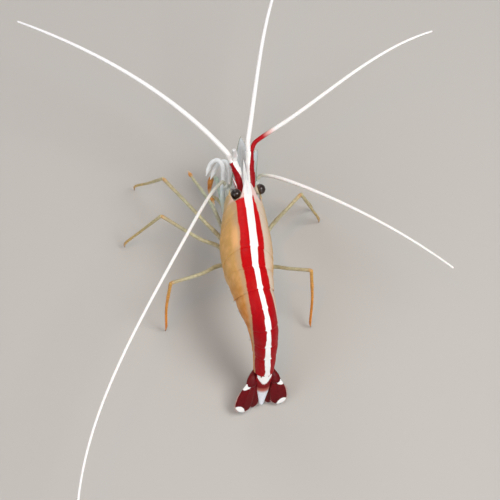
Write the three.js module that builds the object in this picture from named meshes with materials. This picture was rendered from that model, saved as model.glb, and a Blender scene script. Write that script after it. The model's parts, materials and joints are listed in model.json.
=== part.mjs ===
// Cleaner shrimp, Lysmata amboinensis: a still, life-size body standing on its walking legs.
// Millimetres and degrees. +Z is up, +Y is roughly the way the animal faces, +X is its right.
// The body hangs from its spine, the line along the middle of the back. Every shell plate is
// a band of that body between two margins. Limbs and feelers are swept sections.
import * as THREE from 'three';

// ---------------------------------------------------------------- driving dimensions

const GAP = 0.3;                      // clear space between neighbouring solids
const PLATE_GAP = 0.42;               // the same between body plates, measured along the back
const MIN_RADIUS = 0.26;              // thinnest feeler or claw in the solids
const HUMP = [-0.3, -2.6, 24.0];      // middle of the back at the rear margin of the carapace
const LEAN = 8;                       // how far the whole animal leans over to its right

const ROSTRUM_LENGTH = 7.8;
const CARAPACE_LENGTH = 13.3;
const TELSON_LENGTH = 8.6;

// The spine from the orbit backwards: each stretch has a length, the pitch of the back
// (forward end up is positive), the heading to the right and a twist about the back's own line.
const SPINE = [
  { name: 'carapace', length: CARAPACE_LENGTH, pitch: -21, heading: 16, twist: 4 },
  { name: 'abdomen_1', length: 4.1, pitch: -10, heading: 15, twist: 4 },
  { name: 'abdomen_2', length: 4.0, pitch: 2, heading: 9, twist: 3 },
  { name: 'abdomen_3', length: 3.8, pitch: 20, heading: 0, twist: 2 },
  { name: 'abdomen_3', length: 4.0, pitch: 42, heading: -4, twist: 0 },
  { name: 'abdomen_4', length: 4.1, pitch: 63, heading: -2, twist: -2 },
  { name: 'abdomen_5', length: 3.4, pitch: 71, heading: 2, twist: -2 },
  { name: 'abdomen_6', length: 4.9, pitch: 74, heading: 5, twist: -2 },
  { name: 'telson', length: TELSON_LENGTH, pitch: 69, heading: 10, twist: 0 },
];

// Half width and depth of the body at distances behind the orbit.
const GIRTH = [
  { at: 0, half: 3.0, depth: 7.2 },
  { at: 3, half: 3.8, depth: 9.0 },
  { at: 7.5, half: 4.25, depth: 10.1 },
  { at: 12, half: 4.4, depth: 10.2 },
  { at: 15, half: 4.15, depth: 9.7 },
  { at: 19, half: 3.6, depth: 9.0 },
  { at: 24, half: 3.15, depth: 8.0 },
  { at: 28.5, half: 2.7, depth: 7.0 },
  { at: 33, half: 2.3, depth: 5.6 },
  { at: 37, half: 1.95, depth: 4.3 },
  { at: 41.6, half: 1.7, depth: 3.1 },
];

// How far each margin's lower sides run back past its middle (negative runs forward).
const MARGIN_SWEEP = {
  carapace: 1.2,
  abdomen_1: -1.0,
  abdomen_2: 1.3,
  abdomen_3: 0.7,
  abdomen_4: 0.5,
  abdomen_5: 0.4,
  abdomen_6: 0,
};

// The body's section: how square its sides are above and below (1 is an ellipse).
const FULLNESS = { above: 0.95, below: 0.72 };
const BODY_SIDES = 24;
const PLATE_ROWS = { carapace: 12, abdomen: 5 };

// Depth and half width of the rostrum and telson at their root and tip, with the taper's power.
const ROSTRUM = {
  depth: [1.7, 0.5], depthPower: 0.8, half: [0.62, MIN_RADIUS], halfPower: 0.7, rows: 9, sides: 8,
};
const TELSON = {
  depth: [1.5, 0.55], depthPower: 1, half: [1.45, 0.34], halfPower: 0.85, rows: 8, sides: 10,
};

// ---------------------------------------------------------------- sizes of the tail fan and swimming legs

// Offsets behind, right of and above the end of the sixth abdomen plate.
const FAN = {
  left: {
    hip: [0.5, -1.45, -2.3], knee: [2.6, -2.4, -0.5], outerTip: [9.0, -4.3, 1.1], innerTip: [9.1, -1.8, 0.2],
  },
  right: {
    hip: [0.5, 1.45, -2.3], knee: [2.6, 2.3, -0.7], outerTip: [8.6, 3.6, 0.5], innerTip: [9.0, 1.45, -0.3],
  },
};

const OUTER_BLADE = [
  { at: 0, half: 0.45 }, { at: 0.2, half: 0.85 }, { at: 0.45, half: 1.1 },
  { at: 0.75, half: 1.2 }, { at: 0.92, half: 1.0 }, { at: 1, half: 0.5 },
];
const INNER_BLADE = [
  { at: 0, half: 0.35 }, { at: 0.2, half: 0.65 }, { at: 0.5, half: 0.85 },
  { at: 0.8, half: 0.85 }, { at: 0.94, half: 0.65 }, { at: 1, half: 0.36 },
];

const UROPOD_BASE = [{ at: 0, half: 0.4 }, { at: 0.5, half: 0.62 }, { at: 1, half: 0.6 }];
const UROPOD_THICKNESS = { base: 1.0, blade: 0.62 };
// Roots of a side's two blades: behind, outward of and above the knee of its base.
const BLADE_ROOTS = { outer: [0.6, 0.35, 0.4], inner: [0.75, -0.6, -0.35] };

// Each pair's place behind the orbit, its length, and how far it leans forward from plumb.
const SWIMMING_LEGS = [
  { at: 15.6, length: 4.7, lean: 12 },
  { at: 19.6, length: 4.9, lean: 6 },
  { at: 25.4, length: 4.7, lean: 0 },
  { at: 31.4, length: 4.4, lean: -8 },
  { at: 35.2, length: 4.0, lean: -16 },
];
const SWIMMING_LEG = {
  profile: [{ at: 0, half: 0.4 }, { at: 0.25, half: 0.5 }, { at: 0.6, half: 0.62 }, { at: 1, half: 0.3 }],
  thickness: 0.7, hipDepth: 0.35, hipSpread: 0.36,
};

// ---------------------------------------------------------------- sizes of the head

const EYE_RADIUS = 0.95;
const STALK_RADIUS = 0.5;

// Offsets ahead of, right of and above the orbit.
const EYES = {
  left: { centre: [1.05, -1.6, -1.95], stalk: [0.6, -0.45, -2.35] },
  right: { centre: [2.0, 2.75, -1.15], stalk: [0.65, 0.75, -2.3] },
};

const ANTENNULES = {
  left: [[1.3, -0.35, -4.2], [2.9, -0.15, -3.1], [4.45, -0.5, -2.2], [5.55, -1.25, -0.9], [6.0, -2.2, 0.75]],
  right: [[1.3, 1.35, -4.6], [2.9, 1.6, -4.0], [4.6, 1.6, -3.0], [6.6, 1.25, -0.9], [7.9, 0.68, 2.15]],
};
const ANTENNA_BASES = {
  left: [[1.2, -2.1, -6.3], [4.0, -1.6, -6.0], [5.8, -1.9, -5.6], [6.15, -2.6, -5.3]],
  right: [[1.2, 2.3, -6.2], [3.8, 2.4, -5.6], [5.75, 2.5, -5.0], [7.2, 3.0, -4.6]],
};
const SCALES = {
  left: { base: [4.4, -2.05, -4.1], tip: [12.9, -0.5, 0.6], roll: -8 },
  right: { base: [6.2, 2.9, -3.5], tip: [12.2, 3.52, -2.0], roll: 45 },
};
// The outer edge of a scale is straight, so its middle line shifts inward with its width.
const SCALE_HALVES = [
  { at: 0, half: 0.5 }, { at: 0.12, half: 0.95 }, { at: 0.35, half: 1.25 },
  { at: 0.65, half: 1.1 }, { at: 0.88, half: 0.7 }, { at: 1, half: 0.3 },
];
const ANTENNULE_RADII = [0.8, 0.68];
const ANTENNA_RADII = [0.85, 0.58];
const SCALE_THICKNESS = 0.6;

// Feelers: heading to the right and rise above level are smooth functions of the share of
// the length, and a swing that fades over the first few millimetres turns them off their base.
const FEELERS = {
  antennule_outer_left: {
    root: [6.95, -2.62, 1.05], length: 46, heading: [-33.8, -30.8, 12.1], swing: 3, fade: 1.6,
    rise: [38, -34], radius: 0.46,
  },
  antennule_inner_left: {
    root: [6.6, -1.95, 1.75], length: 38, heading: [22, -4], swing: 0, fade: 2,
    rise: [104.6, 26, -19], radius: 0.4,
  },
  antennule_outer_right: {
    root: [8.5, 1.05, 2.6], length: 39, heading: [93.6, -69.3, 67.5], swing: -46.8, fade: 1.3,
    rise: [35, -30], radius: 0.4,
  },
  antennule_inner_right: {
    root: [8.35, 0.2, 2.75], length: 37, heading: [29.3, -21.9, 41.2], swing: -5, fade: 2,
    rise: [32, -16], radius: 0.44,
  },
  antenna_right: {
    root: [7.9, 3.2, -4.1], length: 41.6, heading: [138.8, -3.2, 7.9], swing: -42.6, fade: 2,
    rise: [28, -36], radius: 0.36,
  },
  antenna_left: {
    root: [6.75, -2.6, -4.55], length: 87.2, heading: [-145.3, 28.7, 5.6, -73.4], swing: 28, fade: 4,
    rise: [40, -95, 35], radius: 0.34,
  },
};
const FEELER_TAPER = 0.8;

// Third maxillipeds: places ahead of, right of and above the orbit, and radii at both ends.
const MOUTH_LIMBS = {
  maxilliped_left: {
    points: [[-0.6, -1.2, -8.9], [3.5, -2.25, -8.8], [7.6, -2.55, -7.4], [9.2, -2.45, -6.2],
      [10.3, -3.1, -4.0], [10.95, -3.9, -3.7], [10.75, -4.95, -4.3], [9.4, -5.65, -6.4]],
    from: 0.55, to: 0.36,
  },
  maxilliped_right: {
    points: [[-0.6, 1.2, -8.9], [4.0, -0.2, -8.7], [8.6, -1.1, -7.4], [11.4, -2.0, -4.6],
      [12.0, -2.9, -5.0], [11.5, -3.7, -5.9], [9.8, -4.6, -7.6]],
    from: 0.55, to: 0.36,
  },
};

// ---------------------------------------------------------------- sizes of the legs

const HIP_DEPTH = 0.75;       // below the carapace's lower line
const HIP_SPREAD = 1.9;       // from the middle line to each hip

// Claw-bearing legs. Their places are offsets ahead of, right of and above the orbit.
const CLAW_LEGS = {
  pereiopod_1_left: {
    at: 3.4, out: -0.35, from: 0.5, to: 0.34,
    via: [
      [3.96, -1.89, -9.89], [8.62, -2.58, -9.46], [11.08, -3.44, -8.25], [11.33, -4.03, -8.83],
      [8.78, -4.45, -10.36],
    ],
  },
  pereiopod_1_right: {
    at: 3.4, out: 0.5, from: 0.5, to: 0.34,
    via: [[4.0, 2.6, -10.2], [8.0, 2.2, -9.8], [9.6, 1.6, -9.9], [7.6, 0.8, -10.9]],
  },
  pereiopod_2_left: {
    at: 5.6, out: -0.45, from: 0.45, to: 0.28,
    via: [
      [-0.16, -2.85, -9.67], [2.45, -4.47, -7.78], [6.04, -6.43, -7.09], [9.01, -7.52, -7.6],
      [12.44, -8.6, -8.34],
    ],
  },
  pereiopod_2_right: {
    at: 5.6, out: 0.8, from: 0.45, to: 0.28,
    via: [
      [-2.2, 0.9, -11.7], [2.0, -0.5, -12.0], [6.6, -1.6, -11.7], [8.6, -2.7, -11.4], [9.3, -3.6, -11.5],
      [8.1, -2.9, -12.8],
    ],
  },
};

// Walking legs: the hip's place under the carapace, then the thigh's points, the knee and the foot.
const WALKING_LEGS = {
  pereiopod_3_left: {
    at: 7.9, out: -0.45, via: [[-4.2, 4.7, 12.9], [-5.95, 7.95, 13.9]], knee: [-10.75, 17.85, 15.0],
    foot: [-15.2, 23.1], bow: 0.3,
  },
  pereiopod_4_left: {
    at: 9.6, out: -0.95, via: [[-4.75, 2.7, 13.0], [-7.75, 5.1, 13.9]], knee: [-13.2, 11.05, 15.0],
    foot: [-20.2, 12.75], bow: 0.3,
  },
  pereiopod_5_left: {
    at: 11.8, out: -1, via: [[-5.5, -0.95, 13.8], [-9.9, -1.75, 15.2]], knee: [-15.45, -2.2, 16.5],
    foot: [-17.8, -5.2], bow: 0.3,
  },
  pereiopod_3_right: {
    at: 7.9, out: 0.75, via: [[5.65, 4.45, 11.3], [8.95, 6.3, 12.2]], knee: [12.4, 8.25, 12.6],
    foot: [15.3, 9.1], bow: 0.3,
  },
  pereiopod_4_right: {
    at: 9.9, out: 0.9, via: [[5.3, 3.9, 12.9], [8.5, 5.3, 15.1]], knee: [11.9, 7.0, 16.2],
    foot: [15.85, 6.45], bow: 0.2,
  },
  pereiopod_5_right: {
    at: 11.7, out: 1, via: [[2.7, -3.85, 13.8], [5.65, -5.65, 15.4]], knee: [9.0, -7.45, 16.5],
    foot: [7.9, -12.6], bow: 0.2,
  },
};
// The thigh runs through its via points. The shank bows outward and stands on the toe.
const THIGH = { radii: [0.46, 0.46, 0.43, 0.4, 0.36, 0.34, 0.34, 0.34, 0.33] };
const SHANK = { radii: [0.3, MIN_RADIUS], start: 0.63, tuck: 0.2, ankleHeight: 2.2, steps: 7 };
const FIRST_SIDE = [0.9, 0.3, 0.31];   // the direction from which a limb's sections are counted

const COLOURS = {
  shell: 0xc01018,
  blade: 0x8e0a14,
  eye: 0x15100f,
  stalk: 0xd9c7b0,
  white: 0xf4f1ea,
  leg: 0xb7a77c,
  clear: 0xd8dcd2,
};

// ---------------------------------------------------------------- spine

const radians = THREE.MathUtils.degToRad;
const lerp = THREE.MathUtils.lerp;

/** Value of a keyed table at a place along it, straight between its rows. */
function tableValue(rows, at, key) {
  if (at <= rows[0].at) return rows[0][key];
  for (let i = 1; i < rows.length; i += 1) {
    if (at <= rows[i].at) {
      const share = (at - rows[i - 1].at) / (rows[i].at - rows[i - 1].at);
      return lerp(rows[i - 1][key], rows[i][key], share);
    }
  }
  return rows[rows.length - 1][key];
}

/** Forward, up and right directions of the body for a pitch, heading and twist. */
function attitude(pitch, heading, twist) {
  const turn = new THREE.Matrix4().makeRotationY(radians(LEAN))
    .multiply(new THREE.Matrix4().makeRotationZ(radians(-heading)))
    .multiply(new THREE.Matrix4().makeRotationX(radians(pitch)))
    .multiply(new THREE.Matrix4().makeRotationY(radians(twist)));
  const right = new THREE.Vector3();
  const forward = new THREE.Vector3();
  const up = new THREE.Vector3();
  turn.extractBasis(right, forward, up);
  return { right, forward, up };
}

const stretches = [];
let spineEnd = 0;
for (const stretch of SPINE) {
  stretches.push({ ...stretch, start: spineEnd, at: spineEnd + stretch.length / 2 });
  spineEnd += stretch.length;
}
const TELSON_START = spineEnd - TELSON_LENGTH;

/** Attitude of the body at a distance behind the orbit. */
function attitudeAt(distance) {
  const value = (key) => tableValue(stretches, Math.max(distance, 0), key);
  return attitude(value('pitch'), value('heading'), value('twist'));
}

// The spine's points are summed in short steps, forwards and backwards from the hump.
const SPINE_STEP = 0.1;
const SPINE_FRONT = -ROSTRUM_LENGTH - 1;
const spinePoints = [];
for (let i = 0; SPINE_FRONT + i * SPINE_STEP <= spineEnd + 1; i += 1) {
  const distance = SPINE_FRONT + i * SPINE_STEP;
  const before = i ? spinePoints[i - 1] : new THREE.Vector3();
  spinePoints.push(before.clone().addScaledVector(attitudeAt(distance).forward, -SPINE_STEP));
}
const humpIndex = Math.round((CARAPACE_LENGTH - SPINE_FRONT) / SPINE_STEP);
const spineShift = new THREE.Vector3(...HUMP).sub(spinePoints[humpIndex]);
for (const point of spinePoints) point.add(spineShift);

/** Point on the middle of the back, and the body's directions there. */
function spineAt(distance) {
  const place = (distance - SPINE_FRONT) / SPINE_STEP;
  const index = Math.min(Math.floor(place), spinePoints.length - 2);
  const point = spinePoints[index].clone().lerp(spinePoints[index + 1], place - index);
  return { point, ...attitudeAt(distance) };
}

/** World point from a frame and an offset of forward, right and up. */
function offset(frame, forward, right, up) {
  return frame.point.clone()
    .addScaledVector(frame.forward, forward)
    .addScaledVector(frame.right, right)
    .addScaledVector(frame.up, up);
}

const HEAD = spineAt(0);
const TAIL = spineAt(TELSON_START);
const inHead = (forward, right, up) => offset(HEAD, forward, right, up);
const inTail = (back, right, up) => offset(TAIL, -back, right, up);

// ---------------------------------------------------------------- surfaces

/** Closed geometry from rings of equal length, with a fan over each end. */
function loft(rings) {
  const sides = rings[0].length;
  const positions = [];
  const faces = [];
  for (const ring of rings) for (const point of ring) positions.push(point.x, point.y, point.z);
  for (let row = 0; row < rings.length - 1; row += 1) {
    for (let k = 0; k < sides; k += 1) {
      const next = (k + 1) % sides;
      const a = row * sides + k;
      const b = row * sides + next;
      faces.push(a, b, b + sides, a, b + sides, a + sides);
    }
  }
  for (const last of [false, true]) {
    const ring = rings[last ? rings.length - 1 : 0];
    const centre = ring.reduce((sum, point) => sum.add(point), new THREE.Vector3()).divideScalar(sides);
    const hub = positions.length / 3;
    const base = last ? (rings.length - 1) * sides : 0;
    positions.push(centre.x, centre.y, centre.z);
    for (let k = 0; k < sides; k += 1) {
      const here = base + k;
      const next = base + (k + 1) % sides;
      faces.push(...(last ? [hub, here, next] : [hub, next, here]));
    }
  }
  const geometry = new THREE.BufferGeometry();
  geometry.setAttribute('position', new THREE.Float32BufferAttribute(positions, 3));
  geometry.setIndex(faces);
  return facingOut(geometry);
}

/** Turns a closed geometry's faces outwards when its signed volume is negative. */
function facingOut(geometry) {
  const place = geometry.getAttribute('position');
  const index = geometry.getIndex();
  const corner = [new THREE.Vector3(), new THREE.Vector3(), new THREE.Vector3()];
  let volume = 0;
  for (let i = 0; i < index.count; i += 3) {
    corner.forEach((point, j) => point.fromBufferAttribute(place, index.getX(i + j)));
    volume += corner[0].dot(corner[1].clone().cross(corner[2]));
  }
  if (volume < 0) {
    for (let i = 0; i < index.count; i += 3) {
      const second = index.getX(i + 1);
      index.setX(i + 1, index.getX(i + 2));
      index.setX(i + 2, second);
    }
  }
  geometry.computeVertexNormals();
  return geometry;
}

/** Ellipse of points round a centre, in the plane of two directions. */
function ring(centre, side, top, halfSide, halfTop, sides) {
  const points = [];
  for (let k = 0; k < sides; k += 1) {
    const angle = (2 * Math.PI * k) / sides;
    points.push(centre.clone()
      .addScaledVector(side, halfSide * Math.sin(angle))
      .addScaledVector(top, halfTop * Math.cos(angle)));
  }
  return points;
}

/** Unit directions across a run of points, carried along it without spinning. */
function carriedFrames(points, firstSide) {
  const frames = [];
  let side = firstSide.clone();
  points.forEach((point, i) => {
    const before = points[Math.max(i - 1, 0)];
    const after = points[Math.min(i + 1, points.length - 1)];
    const along = after.clone().sub(before).normalize();
    side = side.clone().addScaledVector(along, -side.dot(along)).normalize();
    frames.push({ side, top: new THREE.Vector3().crossVectors(side, along) });
  });
  return frames;
}

/** Round limb through points, with a radius for each, in a given number of sides. */
function limb(points, radii, sides = 6, lastFlat = false) {
  const frames = carriedFrames(points, new THREE.Vector3(...FIRST_SIDE));
  const rings = points.map((point, i) => {
    const { side, top } = frames[i];
    return ring(point, side, top, radii[i], radii[i], sides);
  });
  if (lastFlat) {
    const foot = points[points.length - 1];
    const radius = radii[radii.length - 1];
    const { side } = frames[frames.length - 1];
    const level = new THREE.Vector3(side.x, side.y, 0).normalize();
    const across = new THREE.Vector3().crossVectors(level, new THREE.Vector3(0, 0, 1));
    const turned = ring(foot, level, across, radius, radius, sides);
    const lastBent = rings[rings.length - 1];
    rings[rings.length - 1] = matchRing(turned, lastBent);
  }
  return loft(rings);
}

/** The same ring started at, and turned like, the one it joins, so that the band isn't twisted. */
function matchRing(turned, like) {
  const candidates = [turned, [...turned].reverse()].flatMap((loop) => (
    loop.map((_, start) => loop.map((__, k) => loop[(k + start) % loop.length]))
  ));
  const cost = (loop) => loop.reduce((sum, point, k) => sum + point.distanceToSquared(like[k]), 0);
  return candidates.reduce((best, loop) => (cost(loop) < cost(best) ? loop : best));
}

/** Smooth curve through a few points, sampled evenly. */
function smooth(points, steps) {
  return new THREE.CatmullRomCurve3(points, false, 'centripetal').getSpacedPoints(steps);
}

/** Radii that run from one value to another over a number of points, with a power for the taper. */
function taper(from, to, count, power = 1) {
  return Array.from({ length: count }, (_, i) => lerp(from, to, (i / (count - 1)) ** power));
}

/** Flat blade along its midrib: half widths follow a profile, the thickness tapers to the tip. */
function blade(base, tip, face, profile, thickness, sides = 8) {
  const along = tip.clone().sub(base);
  const length = along.length();
  along.normalize();
  const top = face.clone().addScaledVector(along, -face.dot(along)).normalize();
  const side = new THREE.Vector3().crossVectors(along, top);
  const rings = profile.map(({ at, half, shift = 0 }) => {
    const centre = base.clone().addScaledVector(along, length * at).addScaledVector(side, shift);
    const halfTop = Math.max(MIN_RADIUS, lerp(thickness / 2, MIN_RADIUS, at));
    return ring(centre, side, top, half, halfTop, sides);
  });
  return loft(rings);
}

// ---------------------------------------------------------------- body plates

/** Outline of the body at a distance behind the orbit, at an angle round from the back. */
function bodyPoint(distance, angle) {
  const frame = spineAt(distance);
  const half = tableValue(GIRTH, distance, 'half');
  const depth = tableValue(GIRTH, distance, 'depth');
  const sine = Math.sin(angle);
  const fullness = Math.cos(angle) < 0 ? FULLNESS.below : FULLNESS.above;
  const across = Math.sign(sine) * half * Math.abs(sine) ** fullness;
  const down = (depth * (1 - Math.cos(angle))) / 2;
  return offset(frame, 0, across, -down);
}

/** Distance behind the orbit of a margin at an angle round the body. */
function marginAt(distance, sweep, angle) {
  return distance + (sweep * (1 - Math.cos(angle))) / 2;
}

/** Band of the body between two margins, closed at both ends. */
function plate(front, frontSweep, rear, rearSweep, rows) {
  const rings = [];
  for (let row = 0; row <= rows; row += 1) {
    const points = [];
    for (let k = 0; k < BODY_SIDES; k += 1) {
      const angle = (2 * Math.PI * k) / BODY_SIDES;
      const first = marginAt(front, frontSweep, angle) + PLATE_GAP / 2;
      const last = marginAt(rear, rearSweep, angle) - PLATE_GAP / 2;
      points.push(bodyPoint(lerp(first, last, row / rows), angle));
    }
    rings.push(points);
  }
  return loft(rings);
}

/** Carapace and the six abdomen plates. */
function bodyPlates() {
  const meshes = [];
  const lengths = new Map();
  for (const stretch of stretches) {
    const known = lengths.get(stretch.name) ?? { start: stretch.start, end: 0 };
    known.end = stretch.start + stretch.length;
    lengths.set(stretch.name, known);
  }
  let frontSweep = 0;
  for (const [name, { start, end }] of lengths) {
    if (name !== 'telson') {
      const rows = name === 'carapace' ? PLATE_ROWS.carapace : PLATE_ROWS.abdomen;
      meshes.push(part(name, plate(start, frontSweep, end, MARGIN_SWEEP[name], rows), 'shell'));
      frontSweep = MARGIN_SWEEP[name];
    }
  }
  return meshes;
}

/** Tapered blade that hangs from the spine between two distances behind the orbit. */
function spineBlade(from, to, { depth, depthPower, half, halfPower, rows, sides }) {
  const rings = [];
  for (let row = 0; row <= rows; row += 1) {
    const share = row / rows;
    const frame = spineAt(lerp(from, to, share));
    const halfDepth = lerp(...depth, share ** depthPower) / 2;
    const halfWidth = lerp(...half, share ** halfPower);
    rings.push(ring(offset(frame, 0, 0, -halfDepth), frame.right, frame.up, halfWidth, halfDepth, sides));
  }
  return loft(rings);
}

/** Rostrum, a narrow blade in front of the carapace, and telson, a long wedge behind the last plate. */
function endBlades() {
  return [
    part('rostrum', spineBlade(-GAP / 2, -ROSTRUM_LENGTH, ROSTRUM), 'white'),
    part('telson', spineBlade(TELSON_START + GAP, TELSON_START + TELSON_LENGTH, TELSON), 'blade'),
  ];
}

// ---------------------------------------------------------------- tail fan

/** Both sides of the tail fan: a base, an outer blade and an inner blade each. */
function tailFan() {
  const meshes = [];
  for (const side of ['left', 'right']) {
    const out = side === 'left' ? -1 : 1;
    const { hip: root, knee, outerTip, innerTip } = FAN[side];
    const beside = ([back, outward, above]) => (
      inTail(knee[0] + back, knee[1] + out * outward, knee[2] + above)
    );
    const base = blade(inTail(...root), inTail(...knee), TAIL.up, UROPOD_BASE, UROPOD_THICKNESS.base);
    const leaf = (start, tip, profile) => (
      blade(beside(start), inTail(...tip), TAIL.up, profile, UROPOD_THICKNESS.blade)
    );
    meshes.push(part(`uropod_base_${side}`, base, 'blade'));
    meshes.push(part(`uropod_outer_${side}`, leaf(BLADE_ROOTS.outer, outerTip, OUTER_BLADE), 'blade'));
    meshes.push(part(`uropod_inner_${side}`, leaf(BLADE_ROOTS.inner, innerTip, INNER_BLADE), 'blade'));
  }
  return meshes;
}

// ---------------------------------------------------------------- swimming legs

/** Five pairs of leaf-shaped swimming legs under the abdomen. */
function swimmingLegs() {
  const meshes = [];
  const { profile, thickness, hipDepth, hipSpread } = SWIMMING_LEG;
  SWIMMING_LEGS.forEach(({ at, length, lean }, pair) => {
    const frame = spineAt(at);
    const ahead = new THREE.Vector3(frame.forward.x, frame.forward.y, 0).normalize();
    const direction = new THREE.Vector3(0, 0, -1).multiplyScalar(Math.cos(radians(lean)))
      .addScaledVector(ahead, Math.sin(radians(lean)));
    const depth = tableValue(GIRTH, at, 'depth');
    const half = tableValue(GIRTH, at, 'half');
    for (const side of ['left', 'right']) {
      const out = side === 'left' ? -1 : 1;
      const root = offset(frame, 0, out * half * hipSpread, -depth - GAP - hipDepth);
      const tip = root.clone().addScaledVector(direction, length);
      const leaf = blade(root, tip, ahead, profile, thickness, 6);
      meshes.push(part(`pleopod_${pair + 1}_${side}`, leaf, 'clear'));
    }
  });
  return meshes;
}

// ---------------------------------------------------------------- head

/** Eyes, each on a short stalk. */
function eyes() {
  const meshes = [];
  for (const side of ['left', 'right']) {
    const { centre, stalk } = EYES[side];
    const ball = new THREE.SphereGeometry(EYE_RADIUS, 14, 10);
    const eye = part(`eye_${side}`, ball, 'eye');
    eye.position.copy(inHead(...centre));
    meshes.push(eye);
    const root = inHead(...stalk);
    const toEye = eye.position.clone().sub(root);
    const end = eye.position.clone().addScaledVector(toEye.normalize(), -EYE_RADIUS - GAP * 0.7);
    meshes.push(part(`eyestalk_${side}`, limb([root, root.clone().lerp(end, 0.5), end],
      [STALK_RADIUS, STALK_RADIUS * 0.9, STALK_RADIUS], 8), 'stalk'));
  }
  return meshes;
}

/** Jointed bases of both pairs of feelers, and the broad scale over each second one. */
function feelerBases() {
  const meshes = [];
  for (const side of ['left', 'right']) {
    const antennule = smooth(ANTENNULES[side].map((at) => inHead(...at)), 7);
    meshes.push(part(`antennule_base_${side}`, limb(antennule, taper(...ANTENNULE_RADII, 8), 8), 'shell'));
    const antenna = smooth(ANTENNA_BASES[side].map((at) => inHead(...at)), 5);
    meshes.push(part(`antenna_base_${side}`, limb(antenna, taper(...ANTENNA_RADII, 6), 8), 'clear'));
    const { base, tip, roll } = SCALES[side];
    const inward = side === 'left' ? 1 : -1;
    const profile = SCALE_HALVES.map(({ at, half }) => ({ at, half, shift: inward * half }));
    const face = HEAD.up.clone().applyAxisAngle(HEAD.forward, radians(roll));
    const scale = blade(inHead(...base), inHead(...tip), face, profile, SCALE_THICKNESS);
    meshes.push(part(`antennal_scale_${side}`, scale, 'clear'));
  }
  return meshes;
}

/** Sum of a polynomial's terms, lowest power first. */
const polynomial = (terms, at) => terms.reduceRight((sum, term) => sum * at + term, 0);

/** Points along a feeler from its root to its tip, closer together near the root. */
function feelerPath({ root, length, heading, swing, fade, rise }) {
  const steps = 240;
  const point = inHead(...root);
  const path = [point.clone()];
  for (let i = 0; i < steps; i += 1) {
    const share = (i + 0.5) / steps;
    const turn = radians(polynomial(heading, share) + swing * Math.exp((-share * length) / fade));
    const lift = radians(polynomial(rise, share));
    point.add(new THREE.Vector3(
      Math.sin(turn) * Math.cos(lift), Math.cos(turn) * Math.cos(lift), Math.sin(lift),
    ).multiplyScalar(length / steps));
    path.push(point.clone());
  }
  const rings = 24;
  return Array.from({ length: rings + 1 }, (_, i) => path[Math.round(steps * (i / rings) ** 1.35)]);
}

/** The six long feelers. */
function feelers() {
  return Object.entries(FEELERS).map(([name, feeler]) => {
    const path = feelerPath(feeler);
    const start = path[0].clone().sub(path[1]).normalize().multiplyScalar(-GAP * 0.5);
    path[0].add(start);
    return part(name, limb(path, taper(feeler.radius, MIN_RADIUS, path.length, FEELER_TAPER), 6), 'white');
  });
}

/** Third maxillipeds, folded forward in front of the mouth. */
function mouthLimbs() {
  return Object.entries(MOUTH_LIMBS).map(([name, { points, from, to }]) => {
    const path = smooth(points.map((at) => inHead(...at)), 14);
    return part(name, limb(path, taper(from, to, path.length), 6), 'white');
  });
}

// ---------------------------------------------------------------- legs

/** Hip of a leg: below the carapace at a distance behind the orbit, out to a side (1 is the usual spread). */
function hip(at, out) {
  return offset(spineAt(at), 0, out * HIP_SPREAD, -tableValue(GIRTH, at, 'depth') - HIP_DEPTH);
}

/** First and second pairs of legs, held forward. */
function clawLegs() {
  return Object.entries(CLAW_LEGS).map(([name, { at, out, via, from, to }]) => {
    const path = smooth([hip(at, out), ...via.map((place) => inHead(...place))], 14);
    return part(name, limb(path, taper(from, to, path.length), 6), 'leg');
  });
}

/** Three pairs of walking legs, each a thigh and a shank that stands on a small flat. */
function walkingLegs() {
  const meshes = [];
  for (const [name, { at, out, via, knee, foot, bow }] of Object.entries(WALKING_LEGS)) {
    const root = hip(at, out);
    const bend = new THREE.Vector3(...knee);
    const toe = new THREE.Vector3(foot[0], foot[1], 0);
    const outward = bend.clone().sub(root).setZ(0).normalize();
    const last = new THREE.Vector3(...via[via.length - 1]);
    const upper = bend.clone().sub(last).normalize();
    const lower = toe.clone().sub(bend).normalize();

    const thighEnd = bend.clone().addScaledVector(upper, -GAP * 0.6);
    const places = via.map((place) => new THREE.Vector3(...place));
    const thigh = smooth([root, ...places, thighEnd], THIGH.radii.length - 1);
    meshes.push(part(`${name}_thigh`, limb(thigh, THIGH.radii, 6), 'leg'));

    const shankStart = bend.clone().addScaledVector(lower, SHANK.start);
    const middle = bend.clone().lerp(toe, 0.5).addScaledVector(outward, bow);
    const ankle = toe.clone().addScaledVector(outward, -SHANK.tuck).setZ(SHANK.ankleHeight);
    const shank = smooth([shankStart, middle, ankle, toe], SHANK.steps);
    shank[shank.length - 1] = toe;
    const radii = taper(...SHANK.radii, SHANK.steps + 1);
    meshes.push(part(`${name}_shank`, limb(shank, radii, 6, true), 'leg'));
  }
  return meshes;
}

// ---------------------------------------------------------------- assembly

/** Named mesh with its own material. */
function part(name, geometry, colour) {
  const clearish = colour === 'clear';
  const material = new THREE.MeshStandardMaterial({
    color: COLOURS[colour], roughness: colour === 'eye' ? 0.12 : 0.4, metalness: 0,
    transparent: clearish, opacity: clearish ? 0.8 : 1,
  });
  const mesh = new THREE.Mesh(geometry, material);
  mesh.name = name;
  return mesh;
}

const shrimp = new THREE.Group();
shrimp.add(
  ...bodyPlates(), ...endBlades(), ...tailFan(), ...swimmingLegs(), ...eyes(), ...feelerBases(),
  ...feelers(), ...mouthLimbs(), ...clawLegs(), ...walkingLegs(),
);

// The origin is on the floor, below the middle of the box round the whole animal.
const box = new THREE.Box3().setFromObject(shrimp, true);
const middle = box.getCenter(new THREE.Vector3());
shrimp.position.set(-middle.x, -middle.y, 0);

export default shrimp;
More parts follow.
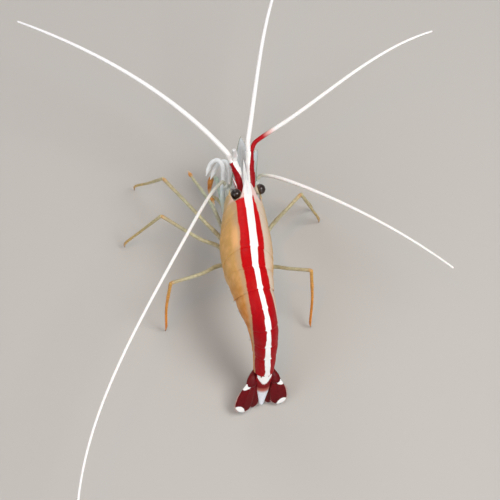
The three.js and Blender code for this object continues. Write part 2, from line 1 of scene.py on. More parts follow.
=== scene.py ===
"""Looks of a cleaner shrimp, Lysmata amboinensis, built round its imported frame.

The shapes are worked out in millimetres in the animal's own coordinates, in which the frame's
solids were drawn, and are moved into the frame and turned into metres as each mesh is written.
The body hangs from its spine, the line along the middle of the back. A place on the shell is
a distance behind the orbit and an angle round from the back, in degrees, positive to the right.
"""

from __future__ import annotations

import json
import logging
from collections.abc import Sequence
from dataclasses import dataclass
from enum import Enum
from typing import ClassVar

import bpy
import numpy as np
from mathutils import Matrix, Vector

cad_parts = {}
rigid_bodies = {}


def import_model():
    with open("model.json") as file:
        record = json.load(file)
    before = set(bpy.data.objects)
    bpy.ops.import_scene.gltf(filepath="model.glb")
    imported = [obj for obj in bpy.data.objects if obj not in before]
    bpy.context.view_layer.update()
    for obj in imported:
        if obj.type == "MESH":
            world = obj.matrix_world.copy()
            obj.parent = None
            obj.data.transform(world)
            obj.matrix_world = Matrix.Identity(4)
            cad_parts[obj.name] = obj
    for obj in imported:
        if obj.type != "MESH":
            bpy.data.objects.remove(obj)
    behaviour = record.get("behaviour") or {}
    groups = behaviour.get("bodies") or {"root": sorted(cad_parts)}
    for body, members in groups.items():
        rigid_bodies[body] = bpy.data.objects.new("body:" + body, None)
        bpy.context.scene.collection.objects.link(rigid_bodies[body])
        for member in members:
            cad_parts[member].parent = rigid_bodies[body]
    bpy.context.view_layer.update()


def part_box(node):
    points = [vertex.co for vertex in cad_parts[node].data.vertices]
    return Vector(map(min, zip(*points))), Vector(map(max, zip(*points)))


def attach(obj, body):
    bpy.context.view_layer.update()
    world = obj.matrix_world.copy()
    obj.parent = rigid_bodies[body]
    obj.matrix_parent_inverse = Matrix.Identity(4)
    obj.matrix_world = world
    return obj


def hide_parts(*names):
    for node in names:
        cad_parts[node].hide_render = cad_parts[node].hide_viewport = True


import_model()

Array = np.ndarray
Colour = tuple[float, float, float]
Place = tuple[float, float, float]
Table = tuple[float, ...]
Tone = int  # red, green and blue as a screen shows them, 0xRRGGBB
Socket = bpy.types.NodeSocket
log = logging.getLogger("cleaner_shrimp")

MM = 0.001
MARKING = "marking"


class Side(Enum):
    """Side of the animal. The value is the sign of an offset to that side."""

    LEFT = -1
    RIGHT = 1

    @property
    def label(self) -> str:
        """Lower-case name, as it ends a node's name."""
        return self.name.lower()


class Slot(Enum):
    """Material slots of the record."""

    SHELL = "shell"
    TAIL_FAN = "tail_fan"
    CLEAR_SHELL = "clear_shell"
    EYE = "eye"
    EYESTALK = "eyestalk"
    FEELER = "feeler"
    LEG = "leg"
    MOUTH_LIMB = "mouth_limb"


# --- numbers


def ease(low: float, high: float, at: Array) -> Array:
    """Zero below low, one above high, and 3t^2 - 2t^3 between them.

    Args:
        low: Where the rise starts.
        high: Where it ends.
        at: Places to work out.

    Returns:
        Values from 0 to 1, shaped like at.
    """
    share = np.clip((np.asarray(at, float) - low) / (high - low), 0.0, 1.0)
    return share * share * (3.0 - 2.0 * share)


def bell(at: Array, centre: float, width: float) -> Array:
    """exp(-((at - centre) / width)^2): one at the centre, near zero two widths off."""
    return np.exp(-(((at - centre) / width) ** 2))


def unit(vectors: Array) -> Array:
    """Vectors scaled to length one along the last axis."""
    return vectors / np.maximum(np.linalg.norm(vectors, axis=-1, keepdims=True), 1e-12)


def square_on(vector: Array, along: Array) -> Array:
    """The part of a vector at right angles to unit directions, scaled to length one."""
    return unit(vector - np.sum(vector * along, axis=-1, keepdims=True) * along)


def spaced(path: Array, places: Array) -> Array:
    """Points of a path at given shares of its length, straight between its own points.

    Args:
        path: Points in order, shape (n, 3).
        places: Shares of the length, 0 to 1.

    Returns:
        Points, shape (len(places), 3).
    """
    run = np.concatenate([[0.0], np.cumsum(np.linalg.norm(np.diff(path, axis=0), axis=1))])
    return np.stack([np.interp(places * run[-1], run, path[:, k]) for k in range(3)], axis=1)


def smooth_curve(points: Sequence[Sequence[float]] | Array, stations: int) -> Array:
    """Centripetal Catmull-Rom curve through points, at evenly spaced stations.

    Between two points the curve is the cubic whose end slopes are the weighted means of the
    slopes to the points before and after, with each gap weighted by the square root of its length.

    Args:
        points: Points in order, shape (n, 3).
        stations: How many points to return.

    Returns:
        Points along the curve, shape (stations, 3).
    """
    knots = np.asarray(points, float)
    knots = np.vstack([2 * knots[0] - knots[1], knots, 2 * knots[-1] - knots[-2]])
    gaps = np.sqrt(np.linalg.norm(np.diff(knots, axis=0), axis=1))[:, None]
    slopes = np.diff(knots, axis=0) / gaps
    across = (knots[2:] - knots[:-2]) / (gaps[1:] + gaps[:-1])
    bends = slopes[:-1] - across + slopes[1:]
    share = np.linspace(0.0, 1.0, 40, endpoint=False)[None, :, None]
    start, end = knots[1:-2, None], knots[2:-1, None]
    leave = (bends[:-1] * gaps[1:-1])[:, None]
    arrive = (bends[1:] * gaps[1:-1])[:, None]
    cubic = (
        start + leave * share + (3 * (end - start) - 2 * leave - arrive) * share**2 + (
            2 * (start - end) + leave + arrive
        ) * share**3
    )
    dense = np.vstack([cubic.reshape(-1, 3), knots[-2]])
    return spaced(dense, np.linspace(0.0, 1.0, stations))


def turned(vectors: Array, axis: int, degrees: Array) -> Array:
    """Vectors turned by the right-hand rule about a world axis.

    Args:
        vectors: Directions, shape (n, 3).
        axis: 0 for X, 1 for Y or 2 for Z.
        degrees: One angle for each vector.

    Returns:
        Turned directions, shape (n, 3).
    """
    angle = np.radians(degrees)
    first, second = (axis + 1) % 3, (axis + 2) % 3
    made = vectors.copy()
    made[:, first] = vectors[:, first] * np.cos(angle) - vectors[:, second] * np.sin(angle)
    made[:, second] = vectors[:, first] * np.sin(angle) + vectors[:, second] * np.cos(angle)
    return made


# --- the body's form


@dataclass(frozen=True)
class Frames:
    """Points with the body's directions at each, all of shape (n, 3)."""

    point: Array
    right: Array
    forward: Array
    up: Array

    def offset(self, forward: Array | float, right: Array | float, up: Array | float) -> Array:
        """Points moved by distances along the three directions."""
        steps = [np.asarray(step, float)[..., None] for step in (forward, right, up)]
        return self.point + steps[0] * self.forward + steps[1] * self.right + steps[2] * self.up


@dataclass(frozen=True)
class Spine:
    """Line along the middle of the back, from the rostrum's tip to the end of the telson.

    Each stretch has the length of the back in it, then the pitch, heading and twist at its
    middle, in degrees, which run straight between the middles. The line is the sum of short
    steps in the direction they give, moved so that it passes through the hump.
    """

    stretches: tuple[Table, ...] = (
        (13.3, -21, 16, 4), (4.1, -10, 15, 4), (4.0, 2, 9, 3), (3.8, 20, 0, 2), (4.0, 42, -4, 0),
        (4.1, 63, -2, -2), (3.4, 71, 2, -2), (4.9, 74, 5, -2), (8.6, 69, 10, 0),
    )
    hump: Place = (-0.3, -2.6, 24.0)
    lean: float = 8.0
    rostrum: float = 7.8
    margin: float = 1.0
    step: float = 0.1

    @property
    def ends(self) -> Array:
        """Distance behind the orbit at which each stretch ends."""
        return np.cumsum([stretch[0] for stretch in self.stretches])

    @property
    def telson_start(self) -> float:
        """Distance behind the orbit at which the telson starts."""
        return float(self.ends[-2])

    def attitude(self, distance: Array) -> tuple[Array, Array, Array]:
        """Right, forward and up directions of the body.

        Args:
            distance: Distances behind the orbit, in one row.

        Returns:
            Three arrays of unit vectors, shape (len(distance), 3).
        """
        lengths, *tilts = np.array(self.stretches, float).T
        middles = self.ends - lengths / 2
        at = np.maximum(distance, 0.0)
        pitch, heading, twist = (np.interp(at, middles, tilt) for tilt in tilts)
        made = []
        for axis in np.eye(3):
            vector = turned(np.tile(axis, (at.size, 1)), 1, twist)
            vector = turned(turned(vector, 0, pitch), 2, -heading)
            made.append(turned(vector, 1, np.full(at.size, self.lean)))
        return made[0], made[1], made[2]

    def at(self, distance: Array | float) -> Frames:
        """Points and directions of the body at distances behind the orbit.

        Args:
            distance: Distances in millimetres, of any shape. Ahead of the orbit they are negative.

        Returns:
            Frames whose arrays have the shape of distance with a last axis of 3.
        """
        wanted = np.asarray(distance, float)
        front = -self.rostrum - self.margin
        count = round((self.ends[-1] + self.margin - front) / self.step) + 1
        along = front + self.step * np.arange(count)
        steps = -self.step * self.attitude(along)[1]
        line = np.cumsum(steps, axis=0)
        hump_at = round((self.stretches[0][0] - front) / self.step)
        line += np.array(self.hump) - line[hump_at]
        flat = wanted.reshape(-1)
        point = np.stack([np.interp(flat, along, line[:, k]) for k in range(3)], axis=1)
        right, forward, up = self.attitude(flat)
        shape = (*wanted.shape, 3)
        return Frames(*(part.reshape(shape) for part in (point, right, forward, up)))


@dataclass(frozen=True)
class Markings:
    """Where the white stripe and the red bands end, as angles round the body in degrees.

    A place's band number is its angle measured in these edges: 0 on the middle line, 1 at the
    stripe's edge, 2 at the red band's outer edge and 3 at the belly, negative on the left. The
    bands start behind the eyes, so ahead of there they have almost no width.
    """

    places: Table = (
        -1.5, 0.6, 1.3, 2.0, 3.0, 5.0, 8.0, 10.0, 12.5, 14.5, 17.3, 17.8, 20.0, 23.0, 26.0, 28.0, 29.6, 31.5,
        33.5, 36.5, 38.5, 40.0, 41.6,
    )
    stripe_left: Table = (
        14, 12.5, 10.5, 9.5, 9, 7.5, 6.8, 5.6, 5.7, 6.3, 5.7, 4.4, 2.8, 2.9, 2.9, 6.3, 3.8, 8.8, 12.4, 12.8,
        9.7, 4.5, 2.5,
    )
    stripe_right: Table = (
        14, 13, 12, 11, 10.5, 9, 9, 8.4, 9.4, 6.7, 4.4, 7.8, 7.0, 9.3, 8.5, 11.2, 5.5, 5.5, 4.3, 10.6, 15.7,
        18.5, 22,
    )
    band_left: Table = (
        14.5, 13, 14, 35, 31, 28.8, 27.6, 25.2, 28, 30.2, 31.8, 30.2, 30.8, 35.6, 42.5, 51, 57.5, 60.5, 65,
        69, 71, 70, 64,
    )
    band_right: Table = (
        14.5, 13.5, 12.8, 13.5, 16.5, 20, 23, 23.6, 24, 22.8, 25.2, 28.8, 32.8, 38.2, 43, 50, 55, 60, 64, 68,
        70, 68, 64,
    )

    def band_number(self, distance: Array, angle: Array) -> Array:
        """Signed band number of places on the body.

        Args:
            distance: Distances behind the orbit.
            angle: Angles round from the back in degrees, shaped like distance.

        Returns:
            Band numbers, shaped like distance and negative on the left.
        """
        left, right = (
            [np.interp(distance, self.places, table) for table in tables]
            for tables in ((self.stripe_left, self.band_left), (self.stripe_right, self.band_right))
        )
        stripe = np.where(angle < 0, left[0], right[0])
        band = np.where(angle < 0, left[1], right[1])
        size = np.abs(angle)
        within = size / stripe
        between = 1 + (size - stripe) / (band - stripe)
        beyond = 2 + (size - band) / (180 - band)
        number = np.where(size < stripe, within, np.where(size < band, between, beyond))
        return np.sign(angle) * number


@dataclass(frozen=True)
class Body:
    """Outline of the trunk and abdomen round the spine.

    At a distance behind the orbit, a point's place across is the half width times the sine of
    its angle, raised to a power below one, and its place down is half the depth times one minus
    the cosine.
    """

    spine: Spine = Spine()
    markings: Markings = Markings()
    places: Table = (0, 3, 7.5, 12, 15, 19, 24, 28.5, 33, 37, 41.6)
    halves: Table = (3.2, 3.85, 4.25, 4.4, 4.15, 3.6, 3.15, 2.7, 2.3, 1.95, 1.7)
    depths: Table = (7.2, 9.0, 10.1, 10.2, 9.7, 9.0, 8.0, 7.0, 5.6, 4.3, 3.1)
    fullness_above: float = 0.95
    fullness_below: float = 0.72
    blend: float = 1.6

    def girth(self, values: Sequence[float], distance: Array) -> Array:
        """Table value, averaged over the blend's length so that no crease shows at its rows."""
        shifts = np.linspace(-self.blend, self.blend, 9)
        weights = np.cos(shifts / self.blend * np.pi / 2.2)
        rows = [w * np.interp(distance + s, self.places, values) for s, w in zip(shifts, weights)]
        return np.sum(rows, axis=0) / weights.sum()

    def surface(self, distance: Array, angle: Array, swell: Array | float = 0.0) -> Array:
        """Points on the body, pushed out from its outline by a distance.

        Args:
            distance: Distances behind the orbit.
            angle: Angles round from the back in degrees, shaped like distance.
            swell: How far outside the outline, in millimetres.

        Returns:
            Points, shaped like distance with a last axis of 3.
        """
        turn = np.radians(angle)
        sine, cosine = np.sin(turn), np.cos(turn)
        power = self.fullness_below + (self.fullness_above - self.fullness_below) * ease(-0.3, 0.3, cosine)
        half, depth = (self.girth(table, distance) for table in (self.halves, self.depths))
        across = np.sign(sine) * (half + swell) * np.abs(sine) ** power
        down = (depth * (1 - cosine)) / 2 - swell * cosine
        return self.spine.at(distance).offset(0.0, across, -down)

    def marks(self, distance: Array, angle: Array) -> Array:
        """Marking attribute of shell: distance behind the orbit, band number, share round.

        The white steps out in a small tooth just ahead of every plate's margin.

        Args:
            distance: Distances behind the orbit.
            angle: Angles round from the back in degrees, shaped like distance.

        Returns:
            Values, shaped like distance with a last axis of 3.
        """
        gaps = self.spine.ends[:-1] - distance[..., None]
        ahead = np.min(np.where(gaps < 0, np.inf, gaps), axis=-1)
        number = self.markings.band_number(distance, angle)
        tooth = np.clip(1 - ahead / 0.9, 0, 1) * (np.abs(number) < 1.5)
        number = number * (1 - 0.1 * tooth)
        return np.stack([distance, number, np.abs(angle) / 180], axis=-1)

    def along(self, distance: Array, across: Array, up: Array) -> Array:
        """Points of sections at distances behind the orbit, off the line of the back."""
        return self.spine.at(np.broadcast_to(distance[:, None], across.shape)).offset(0.0, across, up)

    def in_head(self, places: Sequence[Sequence[float]] | Array) -> Array:
        """Points given as offsets ahead of, right of and above the orbit."""
        offsets = np.atleast_2d(np.asarray(places, float))
        return self.spine.at(np.zeros(len(offsets))).offset(*offsets.T)

    def in_tail(self, places: Sequence[Sequence[float]] | Array) -> Array:
        """Points given as offsets behind, right of and above the end of the sixth abdomen plate."""
        offsets = np.atleast_2d(np.asarray(places, float))
        start = self.spine.at(np.full(len(offsets), self.spine.telson_start))
        return start.offset(-offsets[:, 0], offsets[:, 1], offsets[:, 2])


# --- surfaces


@dataclass
class Surface:
    """Closed surface: points, faces and the marking of each point."""

    points: Array
    quads: Array
    triangles: Array
    marks: Array
    roots: Array | None = None

    @classmethod
    def faced_out(cls, points: Array, quads: Array, triangles: Array, marks: Array) -> Surface:
        """Surface whose faces are turned round when its signed volume is negative.

        The volume is a sixth of the sum, over triangles, of a corner dotted with the cross
        product of the other two.

        Args:
            points: Points, shape (n, 3).
            quads: Four point numbers of each quad.
            triangles: Three point numbers of each triangle.
            marks: Marking values, shape (n, 3).

        Returns:
            The closed surface, facing outward.
        """
        halves = np.vstack([triangles, quads[:, [0, 1, 2]], quads[:, [0, 2, 3]]]).astype(int)
        a, b, c = (points[halves[:, k]] - points.mean(axis=0) for k in range(3))
        if np.sum(a * np.cross(b, c)) < 0:
            quads, triangles = quads[:, ::-1], triangles[:, ::-1]
        return cls(points, quads, triangles, marks)

    @classmethod
    def tube(cls, rings: Array, marks: Array) -> Surface:
        """Rings joined in order, with a fan of triangles over each end.

        Args:
            rings: Points, shape (rings, sides, 3).
            marks: Marking values, shape (rings, sides, 3).

        Returns:
            The closed surface.
        """
        rows, sides = rings.shape[:2]
        index = np.arange(rows * sides).reshape(rows, sides)
        after = np.roll(index, -1, axis=1)
        quads = np.stack([index[:-1], after[:-1], after[1:], index[1:]], axis=-1).reshape(-1, 4)
        hubs = rings[[0, -1]].mean(axis=1)
        hub_marks = marks[[0, -1]].mean(axis=1)
        first = np.stack([np.full(sides, rows * sides), after[0], index[0]], axis=-1)
        last = np.stack([np.full(sides, rows * sides + 1), index[-1], after[-1]], axis=-1)
        return cls.faced_out(
            np.vstack([rings.reshape(-1, 3), hubs]), quads, np.vstack([first, last]),
            np.vstack([marks.reshape(-1, 3), hub_marks]),
        )

    @classmethod
    def pillow(cls, outer: Array, inner: Array, marks: Array) -> Surface:
        """Two grids with one border, closed like a pillow.

        The border's points are the outer grid's, and the inner grid gives only the points
        within it.

        Args:
            outer: Points of the outer side, shape (rows, columns, 3).
            inner: Points of the inner side, of the same shape.
            marks: Marking values of both sides, of the same shape.

        Returns:
            The closed surface.
        """
        rows, columns = outer.shape[:2]
        index = np.arange(rows * columns).reshape(rows, columns)
        under = index.copy()
        under[1:-1, 1:-1] = rows * columns + np.arange((rows - 2) * (columns - 2)).reshape(rows - 2, -1)

        def faces(grid: Array) -> Array:
            """Quads of a grid of indices."""
            corners = [grid[:-1, :-1], grid[1:, :-1], grid[1:, 1:], grid[:-1, 1:]]
            return np.stack(corners, axis=-1).reshape(-1, 4)

        return cls.faced_out(
            np.vstack([outer.reshape(-1, 3), inner[1:-1, 1:-1].reshape(-1, 3)]),
            np.vstack([faces(index), faces(under)[:, ::-1]]), np.zeros((0, 3), int),
            np.vstack([marks.reshape(-1, 3), marks[1:-1, 1:-1].reshape(-1, 3)]),
        )

    @classmethod
    def hairs(cls, roots: Array, tips: Array, radius: float, mark: Sequence[float]) -> Surface:
        """Thin three-sided spikes, each with its own patch on a map of where the hairs grow.

        Args:
            roots: Where the hairs grow, shape (n, 3).
            tips: Where they end, shape (n, 3).
            radius: Half thickness at the root.
            mark: Marking value of every point.

        Returns:
            One surface that holds all of them.
        """
        count = len(roots)
        along = unit(tips - roots)
        helper = np.where(
            np.abs(along[:, 2:]) < 0.8, np.array([[0.0, 0.0, 1.0]]), np.array([[1.0, 0.0, 0.0]]),
        )
        side = square_on(helper, along)
        top = np.cross(along, side)
        turns = np.radians([0.0, 120.0, 240.0])
        foot = roots[:, None] + radius * (
            np.cos(turns)[None, :, None] * side[:, None] + np.sin(turns)[None, :, None] * top[:, None]
        )
        points = np.concatenate([foot, tips[:, None]], axis=1).reshape(-1, 3)
        base = 4 * np.arange(count)[:, None]
        faces = np.array([[0, 1, 3], [1, 2, 3], [2, 0, 3], [0, 2, 1]])
        triangles = (base[:, None] + faces[None]).reshape(-1, 3)
        place = np.linspace(0.0, 1.0, count)
        patch = np.array([[0.0, 0.0], [0.003, 0.0], [0.0, 0.003], [0.002, 0.003]])
        made = cls.faced_out(
            points, np.zeros((0, 4), int), triangles, np.tile(np.asarray(mark, float), (len(points), 1))
        )
        grid = np.stack([0.01 + 0.97 * (place * 31 % 1.0), 0.01 + 0.97 * place], axis=-1)
        made.roots = (grid[:, None] + patch[None]).reshape(-1, 2)
        return made

    @classmethod
    def joined(cls, surfaces: Sequence[Surface]) -> Surface:
        """Several surfaces as one, each still closed."""
        starts = np.cumsum([0] + [len(surface.points) for surface in surfaces[:-1]])
        return cls(
            np.vstack([surface.points for surface in surfaces]),
            np.vstack([surface.quads + start for surface, start in zip(surfaces, starts)]),
            np.vstack([surface.triangles + start for surface, start in zip(surfaces, starts)]),
            np.vstack([surface.marks for surface in surfaces]),
            None if surfaces[0].roots is None else np.vstack([surface.roots for surface in surfaces]),
        )


def flat_direction(path: Array) -> Array:
    """The direction most nearly square to the whole of a path: normal of its best plane."""
    steps = unit(np.diff(path, axis=0))
    return np.linalg.svd(steps, full_matrices=False)[2][-1]


def rod(
    path: Array, radii: Array, sides: int = 10, across: Array | None = None, offset: float = 0.0,
    flat: float = 1.0,
) -> Surface:
    """Round limb along a path, with its rings square to the path.

    Its marking holds the share of the length, the cosine of the angle from the across direction
    plus an offset, and the sine of that angle.

    Args:
        path: Stations, shape (n, 3).
        radii: Radius at each station.
        sides: Points in each ring.
        across: The direction that the angle is counted from, or else the path's flat direction.
        offset: Added to the marking's cosine.
        flat: Thickness square to the across direction, as a share of the width.

    Returns:
        The closed surface.
    """
    along = unit(np.gradient(path, axis=0))
    side = square_on(flat_direction(path) if across is None else across, along)
    turns = 2 * np.pi * np.arange(sides) / sides
    cosine, sine = np.cos(turns), np.sin(turns)
    top = flat * np.cross(side, along)
    out = cosine[None, :, None] * side[:, None] + sine[None, :, None] * top[:, None]
    rings = path[:, None] + out * radii[:, None, None]
    share = np.linspace(0.0, 1.0, len(path))[:, None]
    marks = np.stack(np.broadcast_arrays(share, cosine[None] + offset, sine[None]), axis=-1)
    return Surface.tube(rings, marks.astype(float))


def segmented(shares: Array, radii: Array, joints: Sequence[float], swell: float = 0.16) -> Array:
    """Radii of a limb whose segments each widen to a collar over the next.

    Within a segment the radius grows by the fourth power of the share passed, and each start
    has a small bead that dies away by e over a twelfth of the segment.

    Args:
        shares: Shares of the limb's length.
        radii: Radii before the segments are added.
        joints: Shares at which the segments meet.
        swell: Height of a collar as a share of the radius.

    Returns:
        Radii, shaped like shares.
    """
    bounds = np.array([0.0, *joints, 1.0])
    index = np.clip(np.searchsorted(bounds, shares, side="right") - 1, 0, len(bounds) - 2)
    passed = (shares - bounds[index]) / (bounds[index + 1] - bounds[index])
    return radii * (1 + swell * passed**4 + 0.4 * swell * np.exp(-12 * passed))


def rounded(start: float, end: float, shares: Array) -> Array:
    """Factor that closes a limb's end between two shares, as the height of a circle falls."""
    return np.sqrt(np.clip(1 - ease(start, end, shares) ** 2, 0.02, 1))


def grid(rows: int = 40, columns: int = 25) -> tuple[Array, Array]:
    """Shares along from 0 to 1 and places across from -1 to 1, closer at the edges by a cosine."""
    share = (1 - np.cos(np.linspace(0, np.pi, rows))) / 2
    return np.meshgrid(share, -np.cos(np.linspace(0, np.pi, columns)), indexing="ij")


def rim(share: Array, across: Array, sharp: int, blunt: int) -> Array:
    """Falls from one to zero at a grid's sides and ends, as roots of one less an even power."""
    ends = np.clip(1 - (2 * share - 1) ** blunt, 0, 1) ** 0.5
    return np.clip(1 - across**sharp, 0, 1) ** 0.5 * ends


def rounds(distance: Array, sides: int) -> tuple[Array, Array]:
    """Distances and angles, in degrees, of full rings round the body."""
    angle = 360.0 * np.arange(sides)[None] / sides - 180.0
    return np.broadcast_arrays(distance[:, None], angle)


def shell_sheet(body: Body, distance: Array, angle: Array, swell: Array, half: Array) -> Surface:
    """Sheet of shell on the body's outline, pushed out by swell, with half its thickness each way."""
    outer, inner = (body.surface(distance, angle, swell + way * half) for way in (1, -1))
    return Surface.pillow(outer, inner, body.marks(distance, angle))


def plain_marks(share: Array, like: Array) -> Array:
    """Marking of a surface with no patch and no rim, from shares that fit another array."""
    share = np.broadcast_to(share, like.shape)
    return np.stack([share, share * 0 - 1, share * 0], axis=-1)


@dataclass(frozen=True)
class Leaf:
    """Thin leaf along a midrib, with its base, tip and the direction its face looks.

    Its half width follows a table of stations. Shift moves its middle line sideways by that
    share of the half width, and camber lowers its edges by the square of the place across.
    """

    base: Array
    tip: Array
    face: Array
    stations: Table
    halves: Table
    thickness: float = 0.2
    shift: float = 0.0
    camber: float = 0.1
    rib: float = 0.12
    edge_rib: float = 0.0

    def axes(self) -> tuple[Array, Array, Array, float]:
        """Directions along the midrib, across it and out of its face, and the length."""
        run = self.tip - self.base
        length = float(np.linalg.norm(run))
        along = run / length
        top = square_on(self.face, along)
        return along, np.cross(along, top), top, length

    def half(self, share: Array) -> Array:
        """Half width: the table, rounded off at its tip by the square root of a parabola."""
        fine = np.linspace(0.0, 1.0, 61)
        table = np.interp(fine, self.stations, self.halves)
        window = np.ones(9) / 9
        padded = np.pad(table, 4, mode="edge")
        table = np.convolve(padded, window, mode="valid")
        ends = np.sqrt(np.clip(1 - np.clip((share - 0.86) / 0.14, 0, 1) ** 2.2, 0.0, 1))
        return np.interp(share, fine, table) * np.maximum(ends, 0.04)

    def place(self, share: Array, across: Array, lift: Array | float = 0.0) -> Array:
        """Points of the leaf.

        Args:
            share: Shares along the midrib, 0 to 1.
            across: Places across from -1 to 1, shaped like share.
            lift: How far the points stand off the middle surface, in millimetres.

        Returns:
            Points, shaped like share with a last axis of 3.
        """
        along, side, top, length = self.axes()
        half = self.half(share)
        sideways = half * across + self.shift * np.interp(share, self.stations, self.halves)
        drop = self.camber * across**2 * half
        return (
            self.base
            + along * (length * share)[..., None]
            + side * sideways[..., None]
            + top * (lift - drop)[..., None]
        )

    def surface(
        self, fields: tuple[Array, Array] | None = None, rows: int = 40, columns: int = 25,
    ) -> Surface:
        """The leaf as a pillow that is thickest along its midrib and edge rib.

        Args:
            fields: Marking values on the grid's shares along and across, from the grid function.
            rows: Stations along.
            columns: Stations across.

        Returns:
            The closed surface. Its marking holds the share along and the two fields.
        """
        share, across = grid(rows, columns)
        ribs = self.rib * bell(across, 0.0, 0.12) * (1 - 0.6 * share)
        ribs = ribs + self.edge_rib * bell(across, 0.86, 0.12) * (1 - 0.5 * share)
        lift = (self.thickness / 2 + ribs / 2) * rim(share, across, 8, 12)
        marks = np.stack([share, *(fields or (across, np.abs(across)))], axis=-1)
        return Surface.pillow(self.place(share, across, lift), self.place(share, across, -lift), marks)

    def fringe(
        self, count: int, length: float, edges: tuple[float, float, float, float], seed: int,
    ) -> Surface:
        """Hairs along the margin, from one edge round the tip to the other.

        Args:
            count: How many hairs.
            length: Length of the longest.
            edges: Share at which the fringe starts on the edge at -1, the same at +1, and how
                long its hairs are there against those at the tip.
            seed: Seed of the hairs' small differences.

        Returns:
            The hairs.
        """
        rng = np.random.default_rng(seed)
        start, end, first, last = edges
        run = (1 - start) + (1 - end)
        place = np.sort(rng.uniform(0.0, run, count))
        on_first = place < 1 - start
        share = np.where(on_first, start + place, 1 - (place - (1 - start)))
        share = np.clip(share, 0.0, 0.995)
        across = np.where(on_first, -1.0, 1.0)
        roots = self.place(share, across * 0.97)
        along, side, top, _ = self.axes()
        round_tip = ease(0.8, 1.0, share)[:, None]
        lean = 0.55 + 0.5 * round_tip
        out = unit(side * across[:, None] * (1 - 0.75 * round_tip) + along * lean)
        out = unit(out + rng.normal(0.0, 0.05, (count, 3)) + top * rng.normal(0.0, 0.05, (count, 1)))
        size = np.where(on_first, first, last)
        size = size + (1 - size) * ease(0.75, 1.0, share)
        reach = length * size * rng.uniform(0.8, 1.0, count)
        return Surface.hairs(roots, roots + out * reach[:, None], 0.022, (1.0, 0.0, 0.0))


# --- finishes


def linear(tone: Tone) -> Colour:
    """Linear colour of a tone, by the usual curve of screens."""
    shares = np.array([tone >> 16, tone >> 8 & 255, tone & 255]) / 255
    made = np.where(shares <= 0.04045, shares / 12.92, ((shares + 0.055) / 1.055) ** 2.4)
    return tuple(float(part) for part in made)


class Graph:
    """Node tree of one material, with short methods for the nodes used here."""

    def __init__(self, name: str) -> None:
        """Makes an empty material with a Principled shader and an output.

        Args:
            name: Name of the material.
        """
        self.material = bpy.data.materials.new(name)
        self.material.use_nodes = True
        self.tree = self.material.node_tree
        self.tree.nodes.clear()
        self.shader = self.node("BsdfPrincipled", {})
        self.node("OutputMaterial", {"Surface": self.shader.outputs["BSDF"]})
        self.objects = self.node("TexCoord", {}).outputs["Object"]
        marking = self.node("Attribute", {}, attribute_name=MARKING)
        split = self.node("SeparateXYZ", {0: marking.outputs["Vector"]})
        self.along, self.across, self.round = split.outputs

    def feed(self, socket: Socket, value: object) -> None:
        """Links a socket to another, or sets its own value."""
        if isinstance(value, Socket):
            self.tree.links.new(value, socket)
        else:
            socket.default_value = (*linear(value), 1.0) if socket.type == "RGBA" else value

    def node(self, kind: str, inputs: dict[str | int, object], **settings: object) -> bpy.types.Node:
        """Adds a shader node.

        Args:
            kind: Its type, without the first word that all of them share.
            inputs: What goes into its sockets, by name or number.
            **settings: Its own settings.

        Returns:
            The node.
        """
        made = self.tree.nodes.new(f"ShaderNode{kind}")
        for key, value in settings.items():
            setattr(made, key, value)
        for key, value in inputs.items():
            self.feed(made.inputs[key], value)
        return made

    def sum(self, operation: str, *values: object) -> Socket:
        """Result of a Math node such as DIVIDE or ABSOLUTE."""
        return self.node("Math", dict(enumerate(values)), operation=operation).outputs[0]

    def times(self, *values: object) -> Socket:
        """Product of two values."""
        return self.sum("MULTIPLY", *values)

    def plus(self, *values: object) -> Socket:
        """Sum of two values."""
        return self.sum("ADD", *values)

    def less(self, *values: object) -> Socket:
        """First value less the second."""
        return self.sum("SUBTRACT", *values)

    def step(self, *values: object) -> Socket:
        """Smooth rise as a value goes from low to high, from 0 to 1 unless the ends are given too."""
        ends = (0.0, 1.0) if len(values) == 3 else ()
        inputs = dict(enumerate((*values, *ends)))
        return self.node("MapRange", inputs, interpolation_type="SMOOTHSTEP").outputs[0]

    def window(self, value: object, *edges: float) -> Socket:
        """One between the middle two of four edges, falling smoothly to zero at the outer two."""
        return self.times(self.step(value, *edges[:2]), self.step(value, *edges[2:], 1.0, 0.0))

    def blend(self, share: object, first: object, second: object, kind: str = "MIX") -> Socket:
        """Colour between two, or two colours combined as the kind says, by a share."""
        return self.node("Mix", {0: share, 6: first, 7: second}, data_type="RGBA", blend_type=kind).outputs[2]

    def shaded(self, share: object, colour: object) -> Socket:
        """Colour times a grey, which is black where the share is 0 and white where it is 1."""
        return self.blend(1.0, colour, self.blend(share, BLACK, PURE), "MULTIPLY")

    def ramp(self, value: object, stops: Sequence[tuple[float, Tone]]) -> Socket:
        """Colour by a value from 0 to 1, through stops in order.

        Args:
            value: The value, as a socket.
            stops: Place and tone of each stop.

        Returns:
            The colour's socket.
        """
        node = self.node("ValToRGB", {0: value})
        elements = node.color_ramp.elements
        while len(elements) < len(stops):
            elements.new(0.5)
        for element, (place, tone) in zip(elements, stops):
            element.position = place
            element.color = (*linear(tone), 1.0)
        return node.outputs["Color"]

    def noise(self, size: float, detail: float = 2.0) -> Socket:
        """Noise from 0 to 1 whose features are about a size in millimetres."""
        inputs = {"Vector": self.objects, "Scale": 1.0 / (size * MM), "Detail": detail}
        return self.node("TexNoise", inputs).outputs["Fac"]

    def cells(self, size: float) -> Socket:
        """Distance from the nearest cell's middle, for cells of a size in millimetres."""
        inputs = {"Vector": self.objects, "Scale": 1.0 / (size * MM)}
        return self.node("TexVoronoi", inputs).outputs["Distance"]

    def bump(self, height: object, depth: float, strength: float = 1.0) -> None:
        """Bump of a depth in millimetres on the shader."""
        inputs = {"Distance": depth * MM, "Strength": strength, "Height": height}
        self.feed(self.shader.inputs["Normal"], self.node("Bump", inputs).outputs[0])


